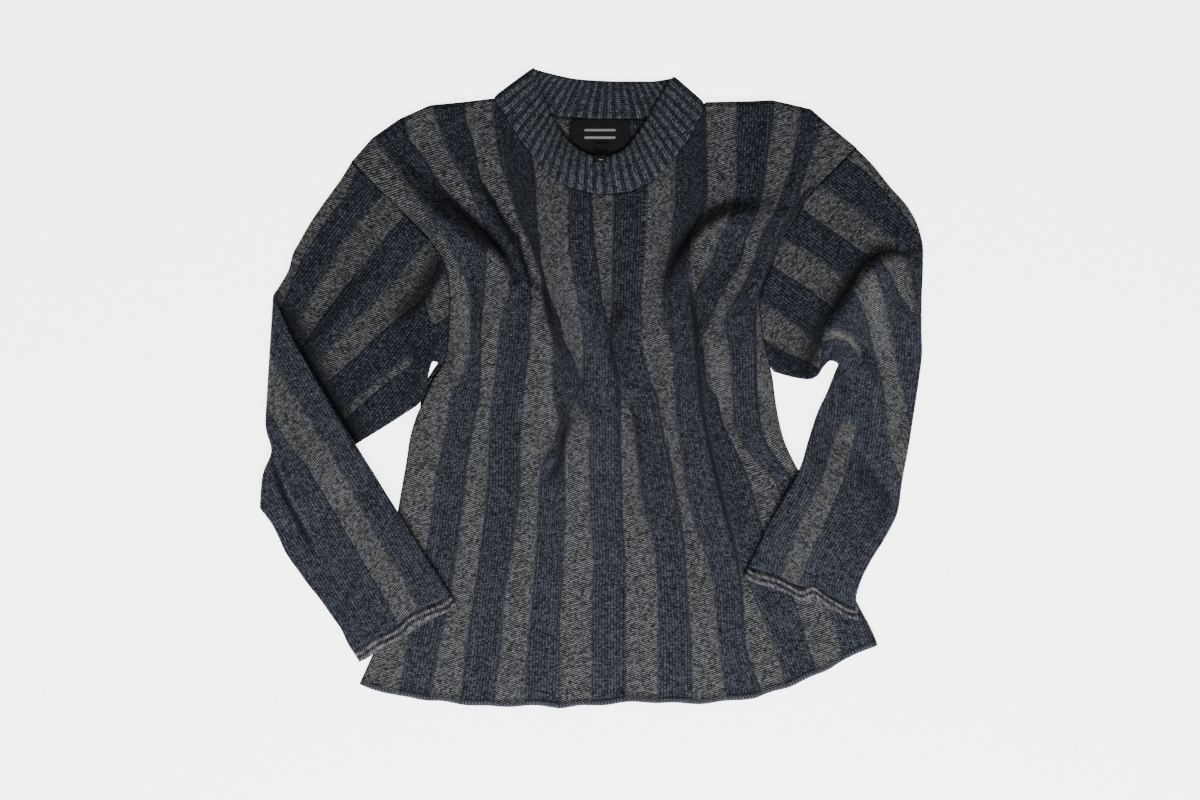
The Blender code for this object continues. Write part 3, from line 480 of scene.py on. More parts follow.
class Value:
    """A shader number that can be used in sums."""

    def __init__(self, tree, socket):
        self.tree = tree
        self.socket = socket

    def math(self, operation, *others, clamp=False):
        node = self.tree.nodes.new("ShaderNodeMath")
        node.operation = operation
        node.use_clamp = clamp
        for k, item in enumerate((self, *others)):
            if isinstance(item, Value):
                self.tree.links.new(item.socket, node.inputs[k])
            else:
                node.inputs[k].default_value = item
        return Value(self.tree, node.outputs[0])

    def lift(self, number):
        node = self.tree.nodes.new("ShaderNodeValue")
        node.outputs[0].default_value = number
        return Value(self.tree, node.outputs[0])

    def __add__(self, other):
        return self.math("ADD", other)

    def __radd__(self, other):
        return self.math("ADD", other)

    def __sub__(self, other):
        return self.math("SUBTRACT", other)

    def __rsub__(self, other):
        return self.lift(other).math("SUBTRACT", self)

    def __mul__(self, other):
        return self.math("MULTIPLY", other)

    def __rmul__(self, other):
        return self.math("MULTIPLY", other)

    def __truediv__(self, other):
        return self.math("DIVIDE", other)

    def __neg__(self):
        return self.math("MULTIPLY", -1.0)

    def __abs__(self):
        return self.math("ABSOLUTE")

    def floor(self):
        return self.math("FLOOR")

    def fract(self):
        return self.math("FRACT")

    def cos(self):
        return self.math("COSINE")

    def clamp(self):
        return self.math("ADD", 0.0, clamp=True)

    def ramp(self, low, high):
        """0 below low and 1 above high, soft between."""
        t = ((self - low) / (high - low)).clamp()
        return t * t * (3.0 - 2.0 * t)

    def tent(self):
        """0 at each whole number and 1 halfway between."""
        return 1.0 - abs(self.fract() * 2.0 - 1.0)

    def near(self, place, width):
        """1 at a place, and 0 from a width away."""
        return 1.0 - (abs(self - place) / width).clamp()


def paint(value):
    """A colour with its fourth number, or a link as it is."""
    return (*value, 1.0) if isinstance(value, tuple) else value


class Shader:
    """A material's node tree with short calls for the nodes used here."""

    def __init__(self, name):
        self.material = bpy.data.materials.new(name)
        self.material.use_nodes = True
        self.tree = self.material.node_tree
        self.principled = self.tree.nodes["Principled BSDF"]

    def node(self, kind, settings=None, **inputs):
        made = self.tree.nodes.new(kind)
        for key, value in (settings or {}).items():
            setattr(made, key, value)
        for key, value in inputs.items():
            socket = made.inputs[key.replace("_", " ")]
            self.feed(socket, value)
        return made

    def feed(self, socket, value):
        if isinstance(value, Value):
            self.tree.links.new(value.socket, socket)
        elif isinstance(value, bpy.types.NodeSocket):
            self.tree.links.new(value, socket)
        else:
            socket.default_value = value

    def fact(self, name):
        made = self.node("ShaderNodeAttribute", {"attribute_name": name})
        return Value(self.tree, made.outputs["Fac"])

    def knit(self):
        """Across and along positions of the stitches, in millimetres."""
        made = self.node("ShaderNodeUVMap", {"uv_map": "knit"})
        split = self.node("ShaderNodeSeparateXYZ", Vector=made.outputs["UV"])
        across = Value(self.tree, split.outputs["X"]) * 1000.0
        run = Value(self.tree, split.outputs["Y"]) * 1000.0
        return across, run

    def point(self, x, y, z=0.0):
        return self.node("ShaderNodeCombineXYZ", X=x, Y=y, Z=z).outputs["Vector"]

    def chance(self, x, y, z=0.0):
        """An even random number for each whole cell."""
        made = self.node("ShaderNodeTexWhiteNoise", {"noise_dimensions": "3D"},
                         Vector=self.point(x, y, z))
        return Value(self.tree, made.outputs["Value"])

    def cloud(self, x, y, scale, z=0.0):
        """Soft drifting patches around one half."""
        made = self.node("ShaderNodeTexNoise", {"noise_dimensions": "3D"},
                         Vector=self.point(x, y, z), Scale=scale, Detail=2.0)
        return Value(self.tree, made.outputs["Fac"])

    def mix(self, share, first, second):
        made = self.node("ShaderNodeMix", {"data_type": "RGBA"})
        for place, value in ((0, share), (6, first), (7, second)):
            self.feed(made.inputs[place], paint(value))
        return made.outputs[2]

    def bump(self, height, depth, strength=1.0):
        made = self.node("ShaderNodeBump", Strength=strength, Distance=depth, Height=height)
        self.feed(self.principled.inputs["Normal"], made.outputs["Normal"])

    def set(self, **inputs):
        for key, value in inputs.items():
            self.feed(self.principled.inputs[key.replace("_", " ")], paint(value))


# Yarn colours, each from its dark gaps to its lightest fibres.
NAVY_DARK = (0.0062, 0.0074, 0.0104)
NAVY_LIGHT = (0.107, 0.119, 0.150)
GREY_DARK = (0.010, 0.0104, 0.0115)
GREY_LIGHT = (0.175, 0.178, 0.187)
RAISED_DARK = (0.0085, 0.0095, 0.0118)
RAISED_LIGHT = (0.172, 0.182, 0.206)
SUNK_LIGHT = (0.07, 0.079, 0.102)
ROLL_DARK = (0.016, 0.0168, 0.019)
ROLL_LIGHT = (0.235, 0.242, 0.258)
# The dark that seams, and the painted shade in grooves, creases, valleys and sunk ribs, mix
# towards.
SEAM_AND_SHADE_DARK = (0.006, 0.007, 0.009)
BORDER = (0.014, 0.016, 0.021)
THREAD = (0.085, 0.092, 0.108)
# A stitch's width and height, and the size of the flecks in its yarn.
WALE = 3.0
COURSE = 2.0
FLECK = 1.5
STITCH_DEPTH = 0.0009
# How far above the hem the stitching, the tuck and the end of the border lie.
THREAD_LINE = 2.6
THREAD_PITCH = 3.2
TUCK_LINE = 6.4
BORDER_END = 5.1
MATTE = 0.92
SHINE = 0.06
# What each knit's tone is lowered by, so that its stitches sit between dark and light.
STRIPE_TONE = 0.54
COLLAR_TONE = 0.55
ROLL_TONE = 0.45
# The part of the panels, by y, over which the knit's tone is lowered towards the top: painted
# shade for the light on the hem's side fading.
LIT_FROM = 150.0
LIT_TO = 450.0


def flecks(shade, across, run):
    """Light and dark fibres of the marled yarn."""
    return shade.chance((across / FLECK).floor(), run.floor(), 2.0)


def stockinette(shade, across, run):
    """Height and tone of smooth knit: wales with gaps between them, crossed by slanted rows. The
    tone rises with the height, so the gaps get painted shade.
    """
    wale = (across / WALE).tent()
    row = run / COURSE + abs((across / WALE).fract() - 0.5) * 0.9
    high = wale.ramp(0.0, 0.75) * 0.5 + row.tent() * 0.5
    stitch = shade.chance((across / WALE).floor(), row.floor(), 3.0)
    # The tone rises with the height: painted shade between the loops.
    return high, high * 0.5 + stitch * 0.34 + flecks(shade, across, run) * 0.46


def purl(shade, across, run):
    """Height and tone of purl knit: short slanted dashes laid like bricks. The tone rises with the
    height, so the spaces between the dashes get painted shade.
    """
    column = (across / WALE).floor()
    row = run / COURSE + column * 0.5 + (across / WALE).fract() * 0.4
    high = row.tent()
    dash = shade.chance(column, row.floor(), 1.0)
    # The tone rises with the height: painted shade between the dashes.
    return high, high * 0.66 + dash * 0.5 + flecks(shade, across, run) * 0.56


def hem_marks(shade, across):
    """Zigzag thread, tuck and plain border of the sewn hem, each from 0 to 1."""
    hem = shade.fact("hem")
    lean = abs(hem - THREAD_LINE) * 0.8
    thread = ((across + lean) / THREAD_PITCH).tent().ramp(0.3, 0.8)
    thread = thread * (1.0 - hem.ramp(4.4, 5.4)) * hem.ramp(0.1, 0.5)
    border = 1.0 - hem.ramp(BORDER_END - 0.5, BORDER_END + 0.5)
    return thread, hem.near(TUCK_LINE, 1.5), border


def striped_knit(name):
    """Navy stockinette ribs and grey reverse ribs of marled yarn, with painted shade in folds and
    grooves and painted highlights on crests.
    """
    shade = Shader(name)
    across, run = shade.knit()
    wobble = shade.cloud(across, run, 0.16, 7.0) - 0.5
    edge = shade.fact("stripe") + wobble * 2.0
    navy = edge.ramp(-0.6, 0.6)
    # groove marks the rib edge's groove: it gets painted shade and a dip in the bump.
    groove = edge.near(-0.4, 1.3)
    drift = shade.cloud(across, run, 0.11) * 0.1
    column = shade.chance((across / WALE).floor(), 5.0, 4.0)
    spark = shade.chance((across / 1.4).floor(), (run / 1.2).floor(), 6.0).ramp(0.955, 0.985)
    # The shade fact is painted light: above zero it is painted shade in fold valleys, below zero a
    # painted highlight on crests that lifts the tone.
    painted_fold_shade_and_light = shade.fact("shade")
    crest = (-painted_fold_shade_and_light).clamp()
    # upper lowers the tone towards the top: painted shade where the lamp's light falls off.
    upper = 1.0 - run.ramp(LIT_FROM, LIT_TO)
    loops, navy_tone = stockinette(shade, across, run)
    navy_tone = navy_tone + column * 0.08 + drift + spark * 0.4
    navy_tone = navy_tone + crest * 0.16 - upper * 0.11 - STRIPE_TONE
    bumps, grey_tone = purl(shade, across, run)
    grey_tone = grey_tone + drift + crest * 0.28 - upper * 0.06 - STRIPE_TONE
    navy_colour = shade.mix(navy_tone.clamp(), NAVY_DARK, NAVY_LIGHT)
    grey_colour = shade.mix(grey_tone.clamp(), GREY_DARK, GREY_LIGHT)
    colour = shade.mix(navy, grey_colour, navy_colour)
    sewn = 1.0 - shade.fact("seam").clamp()
    thread, tuck, border = hem_marks(shade, across)
    colour = shade.mix(border * 0.8, colour, BORDER)
    colour = shade.mix(thread * 0.85, colour, THREAD)
    # The darkening: seams are dark joints, while the rib edges' grooves, the hem's tuck and,
    # below, the fold valleys get painted shade.
    lit = (1.0 - groove * 0.4) * (1.0 - sewn * 0.38) * (1.0 - tuck * 0.6)
    # Painted shade in the fold valleys.
    lit = lit * (1.0 - painted_fold_shade_and_light.clamp() * 0.84)
    colour = shade.mix((1.0 - lit).clamp(), colour, SEAM_AND_SHADE_DARK)
    high = loops * navy + bumps * (1.0 - navy)
    shade.bump(high - groove * 0.8 - sewn * 0.9 - tuck * 0.5 + thread * 0.4, STITCH_DEPTH)
    shade.set(Base_Color=colour, Roughness=MATTE, Specular_IOR_Level=SHINE,
              Sheen_Weight=0.02, Sheen_Roughness=0.6)
    return shade.material


def ribbed_knit(name):
    """Two-by-two collar rib of navy and grey yarn, with painted shade in its sunk ribs."""
    shade = Shader(name)
    across, run = shade.knit()
    rib = shade.fact("rib")
    loops, tone = stockinette(shade, across, run)
    tone = (tone * 1.1 + shade.cloud(across, run, 0.11) * 0.14 - COLLAR_TONE).clamp()
    raised = shade.mix(tone, RAISED_DARK, RAISED_LIGHT)
    sunk = shade.mix(tone, NAVY_DARK, SUNK_LIGHT)
    colour = shade.mix(rib.ramp(0.25, 0.75), sunk, raised)
    # Painted shade in the sunk ribs, with a little darkening at the sewn edge as a dark joint.
    dark = ((1.0 - rib) * 0.22 + shade.fact("seam").clamp() * 0.1).clamp()
    colour = shade.mix(dark, colour, SEAM_AND_SHADE_DARK)
    shade.bump(loops, STITCH_DEPTH)
    shade.set(Base_Color=colour, Roughness=MATTE, Specular_IOR_Level=SHINE, Sheen_Weight=0.02)
    return shade.material


def rolled_knit(name):
    """Light grey reverse side of the turned cuff edges, with painted shade between its rolls."""
    shade = Shader(name)
    across, run = shade.knit()
    high, tone = purl(shade, across, run)
    colour = shade.mix((tone - ROLL_TONE).clamp(), ROLL_DARK, ROLL_LIGHT)
    # The cuff's seam fact darkens it: painted shade in the hollow between the two rolls, and a
    # dark joint where it meets the sleeve.
    colour = shade.mix((shade.fact("seam").clamp() * 0.62).clamp(), colour, SEAM_AND_SHADE_DARK)
    shade.bump(high, 0.0011)
    shade.set(Base_Color=colour, Roughness=MATTE, Specular_IOR_Level=SHINE)
    return shade.material


def woven_tape(name):
    """Tightly woven black tape with plain woven bars; its ground has painted shade between the
    threads.
    """
    shade = Shader(name)
    across, run = shade.knit()
    bar = shade.fact("bar").clamp()
    weave = ((across * 9.0).cos() * 0.5 + 0.5) * 0.5 + ((run * 9.0).cos() * 0.5 + 0.5) * 0.5
    speck = shade.chance((across / 0.5).floor(), (run / 0.5).floor(), 3.0)
    # The ground's tone follows the weave's height: painted shade between the threads.
    ground = shade.mix(speck * weave, (0.003, 0.003, 0.0035), (0.02, 0.02, 0.022))
    light = shade.mix(speck, (0.16, 0.165, 0.18), (0.36, 0.37, 0.4))
    colour = shade.mix(bar.ramp(0.4, 0.6), ground, light)
    shade.bump(weave + bar * 0.5, 0.0003)
    shade.set(Base_Color=colour, Roughness=0.6, Specular_IOR_Level=0.12)
    return shade.material


# The levels, from the shoulders to below the hem, at which the panels' columns are traced.
LEVELS = np.arange(62.0, 709.0, 2.0)
TRACK_LINES = pchip(TRACKS[:, 0], TRACKS[:, 1:], LEVELS)


def columns(u_list):
    """x of each panel column at each level."""
    return pchip(TRACK_U, TRACK_LINES.T, u_list).T


def column_through(x, y):
    """The column that passes a plan point."""
    u_list = np.arange(0.0, PANEL_WIDTH + 0.25, 0.5)
    lines = columns(u_list)
    row = np.array([np.interp(y, LEVELS, lines[:, k]) for k in range(len(u_list))])
    return float(np.interp(x, row, u_list))


def crossing(line, edge):
    """Level where a column meets an edge that is given as y over x."""
    edge = np.asarray(edge, float)
    below = LEVELS - np.interp(line, edge[:, 0], edge[:, 1])
    k = int(np.argmax(below > 0.0))
    if below[k] <= 0.0:
        return LEVELS[-1]
    if k == 0:
        return LEVELS[0]
    t = below[k - 1] / (below[k - 1] - below[k])
    return LEVELS[k - 1] + t * (LEVELS[k] - LEVELS[k - 1])


def hem_wave(u):
    """How far the hem strays from its drawn line."""
    return 1.2 * math.sin(u / 17.0 + 1.0) + 0.7 * math.sin(u / 7.3)


def panel_plan(u_list, shares, neck, inset):
    """Plan points of a panel, with how far each lies below the top edge and above the hem."""
    top = SHOULDER_LEFT + neck + SHOULDER_RIGHT
    lines = columns(u_list)
    x = np.empty((len(shares), len(u_list)))
    y = np.empty_like(x)
    head = np.empty(len(u_list))
    foot = np.empty(len(u_list))
    for k, u in enumerate(u_list):
        head[k] = crossing(lines[:, k], top)
        foot[k] = crossing(lines[:, k], HEM) - inset + hem_wave(u)
        y[:, k] = head[k] + (foot[k] - head[k]) * np.asarray(shares)
        x[:, k] = np.interp(y[:, k], LEVELS, lines[:, k])
    return x, y, y - head, foot - y


def rib_facts(u_list, x):
    """Signed distance from the nearest rib edge, above zero in a navy rib."""
    phase = np.asarray(u_list) / RIB_WIDTH
    part = (phase % 1.0) * RIB_WIDTH
    near = np.minimum(part, RIB_WIDTH - part) * np.gradient(x, u_list, axis=1)
    return np.where(np.floor(phase) % 2 == 1, near, -near)


def stitch_places(u_list, plain):
    """Across positions of the stitches: each rib is measured from its own middle."""
    steps = np.linalg.norm(np.diff(plain, axis=1), axis=2)
    run = np.concatenate([np.zeros((len(plain), 1)), np.cumsum(steps, axis=1)], axis=1)
    rib = np.minimum(np.floor(np.asarray(u_list) / RIB_WIDTH), RIB_COUNT - 1)
    middle = (rib + 0.5) * RIB_WIDTH
    centre = np.array([np.interp(middle, u_list, row) for row in run])
    return middle + run - centre


def side_gaps(x, y):
    """How far each point lies inside the first and the last column at its own level."""
    left = x - np.interp(y, y[:, 0], x[:, 0])
    right = np.interp(y, y[:, -1], x[:, -1]) - x
    return np.maximum(left, 0.0), np.maximum(right, 0.0)


def panel_grid(neck, shares, step, corners, inset):
    """Columns of a panel, one through each corner, and the plan of its points."""
    marks = [column_through(x, y) for x, y in corners]
    u_list = [u for u in np.arange(0.0, PANEL_WIDTH + 0.01, step)
              if min(abs(u - m) for m in marks) > 0.3 * step]
    u_list = np.array(sorted(u_list + marks))
    return (u_list, *panel_plan(u_list, shares, neck, inset))


def cloth_facts(stripe, seam, hem, shade):
    """What the striped knit asks of each point."""
    return {"stripe": stripe, "seam": np.minimum(seam, FAR), "hem": np.minimum(hem, FAR),
            "shade": shade}


def front_panel(material):
    """The front, with its folds, its side and shoulder seams and the rolled hem."""
    shares = np.linspace(0.0, 1.0, 186)
    u_list, x, y, below, above = panel_grid(NECK_FRONT, shares, 3.25, NECK_CORNERS, 0.0)
    stripe = rib_facts(u_list, x)
    inside_left, inside_right = side_gaps(x, y)
    sides = np.minimum(inside_left, inside_right) * 0.8
    edge = np.minimum(np.minimum(below, above), sides)
    calm = ease(np.minimum(below, above) / 16.0)
    hollow = crease_shade(VALLEYS, x, y)
    swells = 0.55 * ripple(x, y, 52.0, 1.5) + 0.35 * ripple(x, y, 19.0, 4.5)
    z = FRONT_TOP + calm * (fold_height(FOLDS, x, y) + swells - 4.0 * hollow)
    z -= 0.7 * np.exp(-edge / 1.2)
    sewn_side = ease((y - 372.0) / 16.0) * ease((690.0 - y) / 12.0)
    z -= 0.9 * line_mark(inside_left - SIDE_SEAM, 1.3) * sewn_side
    z += 0.9 * line_mark(above - 3.0, 2.4)
    plain = np.stack([x, y, z], axis=2)
    normal = grid_normals(plain, False, False)
    normal *= np.sign(normal[:, :, 2:3])
    outer = plain.copy()
    outer[:, :, 2] += RIB_CROWN * ease(stripe / RIB_SLOPE) * ease(edge / 3.0)
    inner = plain - CLOTH * normal
    inner[:, :, 2] = np.maximum(inner[:, :, 2], BACK_TOP + 0.05)
    knit = np.stack([stitch_places(u_list, plain), y], axis=2)
    shoulder = (x < 495.0) | (x > 703.0)
    seam = np.where(sewn_side > 0.3, np.abs(inside_left - SIDE_SEAM), FAR)
    for gap in (np.abs(below - 3.2), below + 0.6):
        seam = np.minimum(seam, np.where(shoulder, gap, FAR))
    # Painted shade in the valleys and painted highlight on the crests, faded out near the edges.
    dark = calm * (hollow - crest_light(CRESTS, x, y))
    piece = shell("front_cloth", "front", material, outer, inner, knit,
                  cloth_facts(stripe, np.minimum(seam, sides), above, dark))
    return piece, x, y


def back_panel(material):
    """The back, flat on the table, with a shallower neckline."""
    shares = np.linspace(0.0, 1.0, 90)
    corners = [NECK_CORNERS[0], NECK_CORNERS[-1]]
    u_list, x, y, below, above = panel_grid(NECK_BACK, shares, 6.5, corners, 1.2)
    x[:, 0] += 0.5
    x[:, -1] -= 0.5
    stripe = rib_facts(u_list, x)
    edge = np.minimum(np.minimum(below, above), np.minimum(*side_gaps(x, y)))
    upper = np.stack([x, y, BACK_TOP - 0.1 - 0.5 * np.exp(-edge / 1.5)], axis=2)
    lower = upper.copy()
    lower[:, :, 2] = 0.05 + 0.4 * np.exp(-edge / 1.5)
    knit = np.stack([stitch_places(u_list, upper), y], axis=2)
    underarm = ease((y - 350.0) / 16.0) * ease((412.0 - y) / 22.0)
    for points in (upper, lower):
        points[:, 0, 0] -= 6.5 * underarm[:, 0]
    piece = shell("back_cloth", "back", material, upper, lower, knit,
                  cloth_facts(stripe, edge, above, np.zeros(x.shape)))
    return piece, x, y


# Points across each side of a sleeve.
TUBE_COLUMNS = 56
# A point of a sleeve looks up, or lies on its rim, where its level is above this.
TOP_LEVEL = -0.05
# A point on the right sleeve's elbow fold, the fold's direction, and the way across it.
FOLD_POINT = np.array((278.5, 290.0))
FOLD_RUN = np.array((-0.0624, 0.99805))
FOLD_AWAY = np.array((-0.99805, -0.0624))


def fold_row(q):
    """A row parallel to the elbow fold, q beyond it."""
    outer = FOLD_POINT + q * FOLD_AWAY + (-3.6 + 2.07 * q) * FOLD_RUN
    under = FOLD_POINT + q * FOLD_AWAY + (214.0 + 1.22 * q) * FOLD_RUN
    return (*outer, *under, 0.0, 0.0)


# Each sleeve is a flattened tube. Rows run from the armhole to the sleeve's end.
# In a row: outer edge x and y, underarm edge x and y, bow of the middle x and y.
RIGHT_ROWS = [
    (340, 180, 433, 361.5, 27, -7),
    (324, 202, 421.5, 400.5, 16, -4),
    (311, 221, 402, 415.5, 8, -2),
    (299.5, 241, 367, 437.5, 3, -1),
    (292.5, 254, 324, 464, 0, 0),
    fold_row(-9.0), fold_row(0.0), fold_row(2.0), fold_row(4.0), fold_row(6.0), fold_row(8.0),
    fold_row(15.0),
    (247, 339, 237, 539.5, 0, 0),
    (232, 359, 232, 548, 0, 0),
    (214, 382, 224.5, 557, 0, 0),
    (194, 408, 216, 566, 0, 0),
    (174, 433, 206, 577, 0, 0),
    (149, 464, 190.5, 592, 0, 0),
    (122, 497, 176, 608, 0, 0),
    (100, 524, 166, 619, 0, 0),
    (80, 548, 158, 631.5, 0, 0),
    (62, 570, 151.5, 639, 0, 0),
]
LEFT_ROWS = [
    (872, 163.5, 784, 375, -32, -10),
    (890.5, 186.5, 796, 378, -22, -8),
    (908, 206.5, 808, 379.5, -14, -5),
    (919, 228, 817, 376.5, -8, -3),
    (923.5, 250, 822, 369, -4, -1),
    (923, 275, 826, 364, 0, 0),
    (922, 300, 829, 361, 0, 0),
    (922, 326, 832.5, 361, 0, 0),
    (922.5, 351, 838, 364.5, 0, 0),
    (919, 382, 834.5, 373, 0, 0),
    (914, 415, 827, 392, 0, 0),
    (909, 447, 818, 411, 0, 0),
    (902.5, 482, 808, 440, 0, 0),
    (898.5, 510, 800.5, 465, 0, 0),
    (886, 537, 787, 491, 0, 0),
    (871, 561, 774, 514, 0, 0),
    (861, 580, 764, 533, 0, 0),
    (856, 598, 755, 552, 0, 0),
    (857, 608, 748, 566, 0, 0),
]
# The elbow arc of the wearer's left sleeve: its ribs change direction there.
ARC_LINE = [(945, 246, 0), (925, 250, 0), (905, 253, 0), (885, 251, 0), (868, 261, 0),
            (853, 279, 0), (838, 303, 0), (824, 323, 0), (821, 340, 0), (822, 362, 0),
            (812, 384, 0), (770, 392, 0), (700, 400, 0)]
# Grey ribs of the wearer's right sleeve, in the same way as the left sleeve's.
RIGHT_UPPER_GREY = [
    [(352, 164, 7), (349, 168, 8), (338, 190, 10), (312, 222, 11), (292, 255, 11),
     (276, 300, 8), (268, 322, 7)],
    [(412, 186, 16), (400, 198, 16), (377, 223, 15.5), (356, 251, 15.4), (329, 289, 12),
     (298, 338, 8), (285, 360, 7)],
    [(450, 232, 10), (433, 251, 11), (420, 270, 14), (408, 289, 16.6), (374, 321, 13.4),
     (348, 347, 12.8), (320, 375, 11), (300, 392, 10)],
    [(410, 361, 4), (381, 382, 4.5), (345, 414, 4), (330, 428, 4)],
    [(452, 276, 6), (446, 290, 14), (440, 304, 17), (436, 316, 8)],
]
RIGHT_FOREARM_GREY = [
    [(266, 350, 4), (271, 372, 9), (281, 400, 15), (300, 430, 16), (316, 452, 15),
     (327, 470, 14), (354, 520, 13), (378, 560, 13.5), (396, 590, 13.5), (409, 616, 13),
     (420, 640, 13)],
]
# Rib edges on the hidden side of a sleeve, counted from its outer edge.
HIDDEN_BOUNDS = (14.0, 46.0, 78.0, 110.0, 142.0, 175.0)


# For each side: the column that the armhole follows, how far down, and its end underarm.
ARMHOLES = {-1: (0, 362.0, (441.2, 364.5)), 1: (-1, 368.0, (774.5, 372.0))}


def armhole_edge(x, y, side):
    """The plan line of the front's armhole, from the shoulder to the underarm."""
    col, foot, underarm = ARMHOLES[side]
    line = np.stack([x[:, col], y[:, col]], axis=1)
    return np.concatenate([line[line[:, 1] < foot], [underarm]])


def sleeve_plan(rows, edge, side, share):
    """Plan points across each row; the first row follows the armhole."""
    first = along(edge, share)
    first[:, 0] += side * SEAM_GAP
    out = [first]
    for ox, oy, ux, uy, bx, by in rows:
        straight = np.array((ox, oy)) + np.outer(share, (ux - ox, uy - oy))
        bow = np.outer(4.0 * share * (1.0 - share), (bx, by))
        out.append(straight + bow)
    return np.array(out)


def fine_tube(rows, edge, side, per_row, count):
    """Outer and inner points of a smooth flattened tube, with facts for each point."""
    share = np.linspace(0.0, 1.0, 81)
    coarse = sleeve_plan(rows, edge, side, share)
    at = np.linspace(0.0, len(coarse) - 1.0, (len(coarse) - 1) * per_row + 1)
    plan = pchip(np.arange(len(coarse)), coarse.reshape(len(coarse), -1), at)
    plan = plan.reshape(len(at), len(share), 2)
    width = np.linalg.norm(np.diff(plan, axis=1), axis=2).sum(axis=1)
    middle = plan[:, len(share) // 2]
    run = np.concatenate([[0.0], np.cumsum(np.linalg.norm(np.diff(middle, axis=0), axis=1))])
    half = 0.5 * SLEEVE_TOP
    reach = half / width
    arc = np.linspace(0.0, math.pi, 7)[1:-1]
    # Over the top, round the underarm edge, back underneath, and round the outer edge.
    spots = [(reach + (1.0 - 2.0 * reach) * t, 0.0, 1.0) for t in np.linspace(0.0, 1.0, count)]
    spots += [(1.0 - reach, math.sin(a), math.cos(a)) for a in arc]
    spots += [(reach + (1.0 - 2.0 * reach) * t, 0.0, -1.0)
              for t in np.linspace(1.0, 0.0, count)]
    spots += [(reach, -math.sin(a), -math.cos(a)) for a in arc]
    outer = np.empty((len(plan), len(spots), 3))
    inner = np.empty_like(outer)
    from_edge = np.empty((len(plan), len(spots)))
    for k, (base, out, up) in enumerate(spots):
        for target, radius in ((outer, half), (inner, half - CLOTH)):
            s = base + out * reach * radius / half
            for r in range(len(plan)):
                target[r, k, 0] = np.interp(s[r], share, plan[r, :, 0])
                target[r, k, 1] = np.interp(s[r], share, plan[r, :, 1])
            target[:, k, 2] = half + up * radius
        from_edge[:, k] = (base + out * reach) * width
    level = np.array([up for _, _, up in spots])
    along_run = np.broadcast_to(run[:, None], from_edge.shape)
    return outer, inner, level, from_edge, along_run


def hidden_ribs(distance):
    """Signed distance from the nearest rib edge on the hidden side, above zero in navy."""
    bounds = np.asarray(HIDDEN_BOUNDS)
    near = np.min(np.abs(distance[..., None] - bounds), axis=-1)
    return np.where(np.searchsorted(bounds, distance) % 2 == 0, -near, near)


def stroke_facts(strokes, x, y):
    """The same for grey ribs that are drawn as lines with half widths."""
    value = np.full(np.shape(x), 16.0)
    for path in strokes:
        best, _, half = near_path(path, x, y)
        value = np.minimum(value, best - half)
    return value


# The upper right sleeve's lower edge: a point on it and the way across it.
UNDER_EDGE = (425.0, 404.0)
UNDER_AWAY = (0.5125, 0.8587)
# The body's side edges under the forearms: levels, then their x.
RIGHT_BODY = ((440, 500, 560, 645, 683), (411, 399, 388, 379, 363))
LEFT_BODY = ((405, 445, 470, 520, 580, 643), (776, 787, 800, 820, 845, 877))
LEFT_LIFT_START = 392.0
LEFT_LIFT_LENGTH = 48.0


def held_up(beyond):
    """1 over what lies below, and 0 well beyond its edge."""
    return 1.0 - ease((beyond - LAID_HOLD) / LAID_FALL)


def right_support(x, y):
    """Height that the folded forearm rests at: on the sleeve, on the body, or on the table."""
    off_sleeve = (x - UNDER_EDGE[0]) * UNDER_AWAY[0] + (y - UNDER_EDGE[1]) * UNDER_AWAY[1]
    off_body = np.interp(y, *RIGHT_BODY) - x
    return LAID_BASE * np.maximum(held_up(off_sleeve), held_up(off_body))


def left_support(x, y):
    """Height that the other forearm rests at."""
    off_body = x - np.interp(y, *LEFT_BODY)
    return LAID_BASE * held_up(off_body) * ease((y - LEFT_LIFT_START) / LEFT_LIFT_LENGTH)


def fold_over(points):
    """Turns what lies beyond the elbow fold back over the sleeve."""
    rho = FOLD_ARC / math.pi
    out = points.copy()
    flat = points[:, :, :2] - FOLD_POINT
    q = flat @ FOLD_AWAY
    t = flat @ FOLD_RUN
    theta = np.clip(q / rho, 0.0, math.pi)
    arm = PIVOT_HEIGHT - points[:, :, 2]
    away = np.where(q < 0.0, q, arm * np.sin(theta) - np.maximum(q - FOLD_ARC, 0.0))
    out[:, :, :2] = (FOLD_POINT + away[:, :, None] * FOLD_AWAY + t[:, :, None] * FOLD_RUN)
    out[:, :, 2] = PIVOT_HEIGHT - arm * np.cos(theta)
    return out, ease(np.clip((q - FOLD_ARC) / 10.0, 0.0, 1.0))


def elbow_notch(points):
    """Pulls the fold in a little where the sleeve puckers below the elbow."""
    high = line_mark(points[:, :, 1] - NOTCH_Y, NOTCH_TALL)
    wide = line_mark(np.maximum(points[:, :, 0] - NOTCH_X, 0.0), NOTCH_WIDE)
    points[:, :, 0] += NOTCH * high * wide
    return points


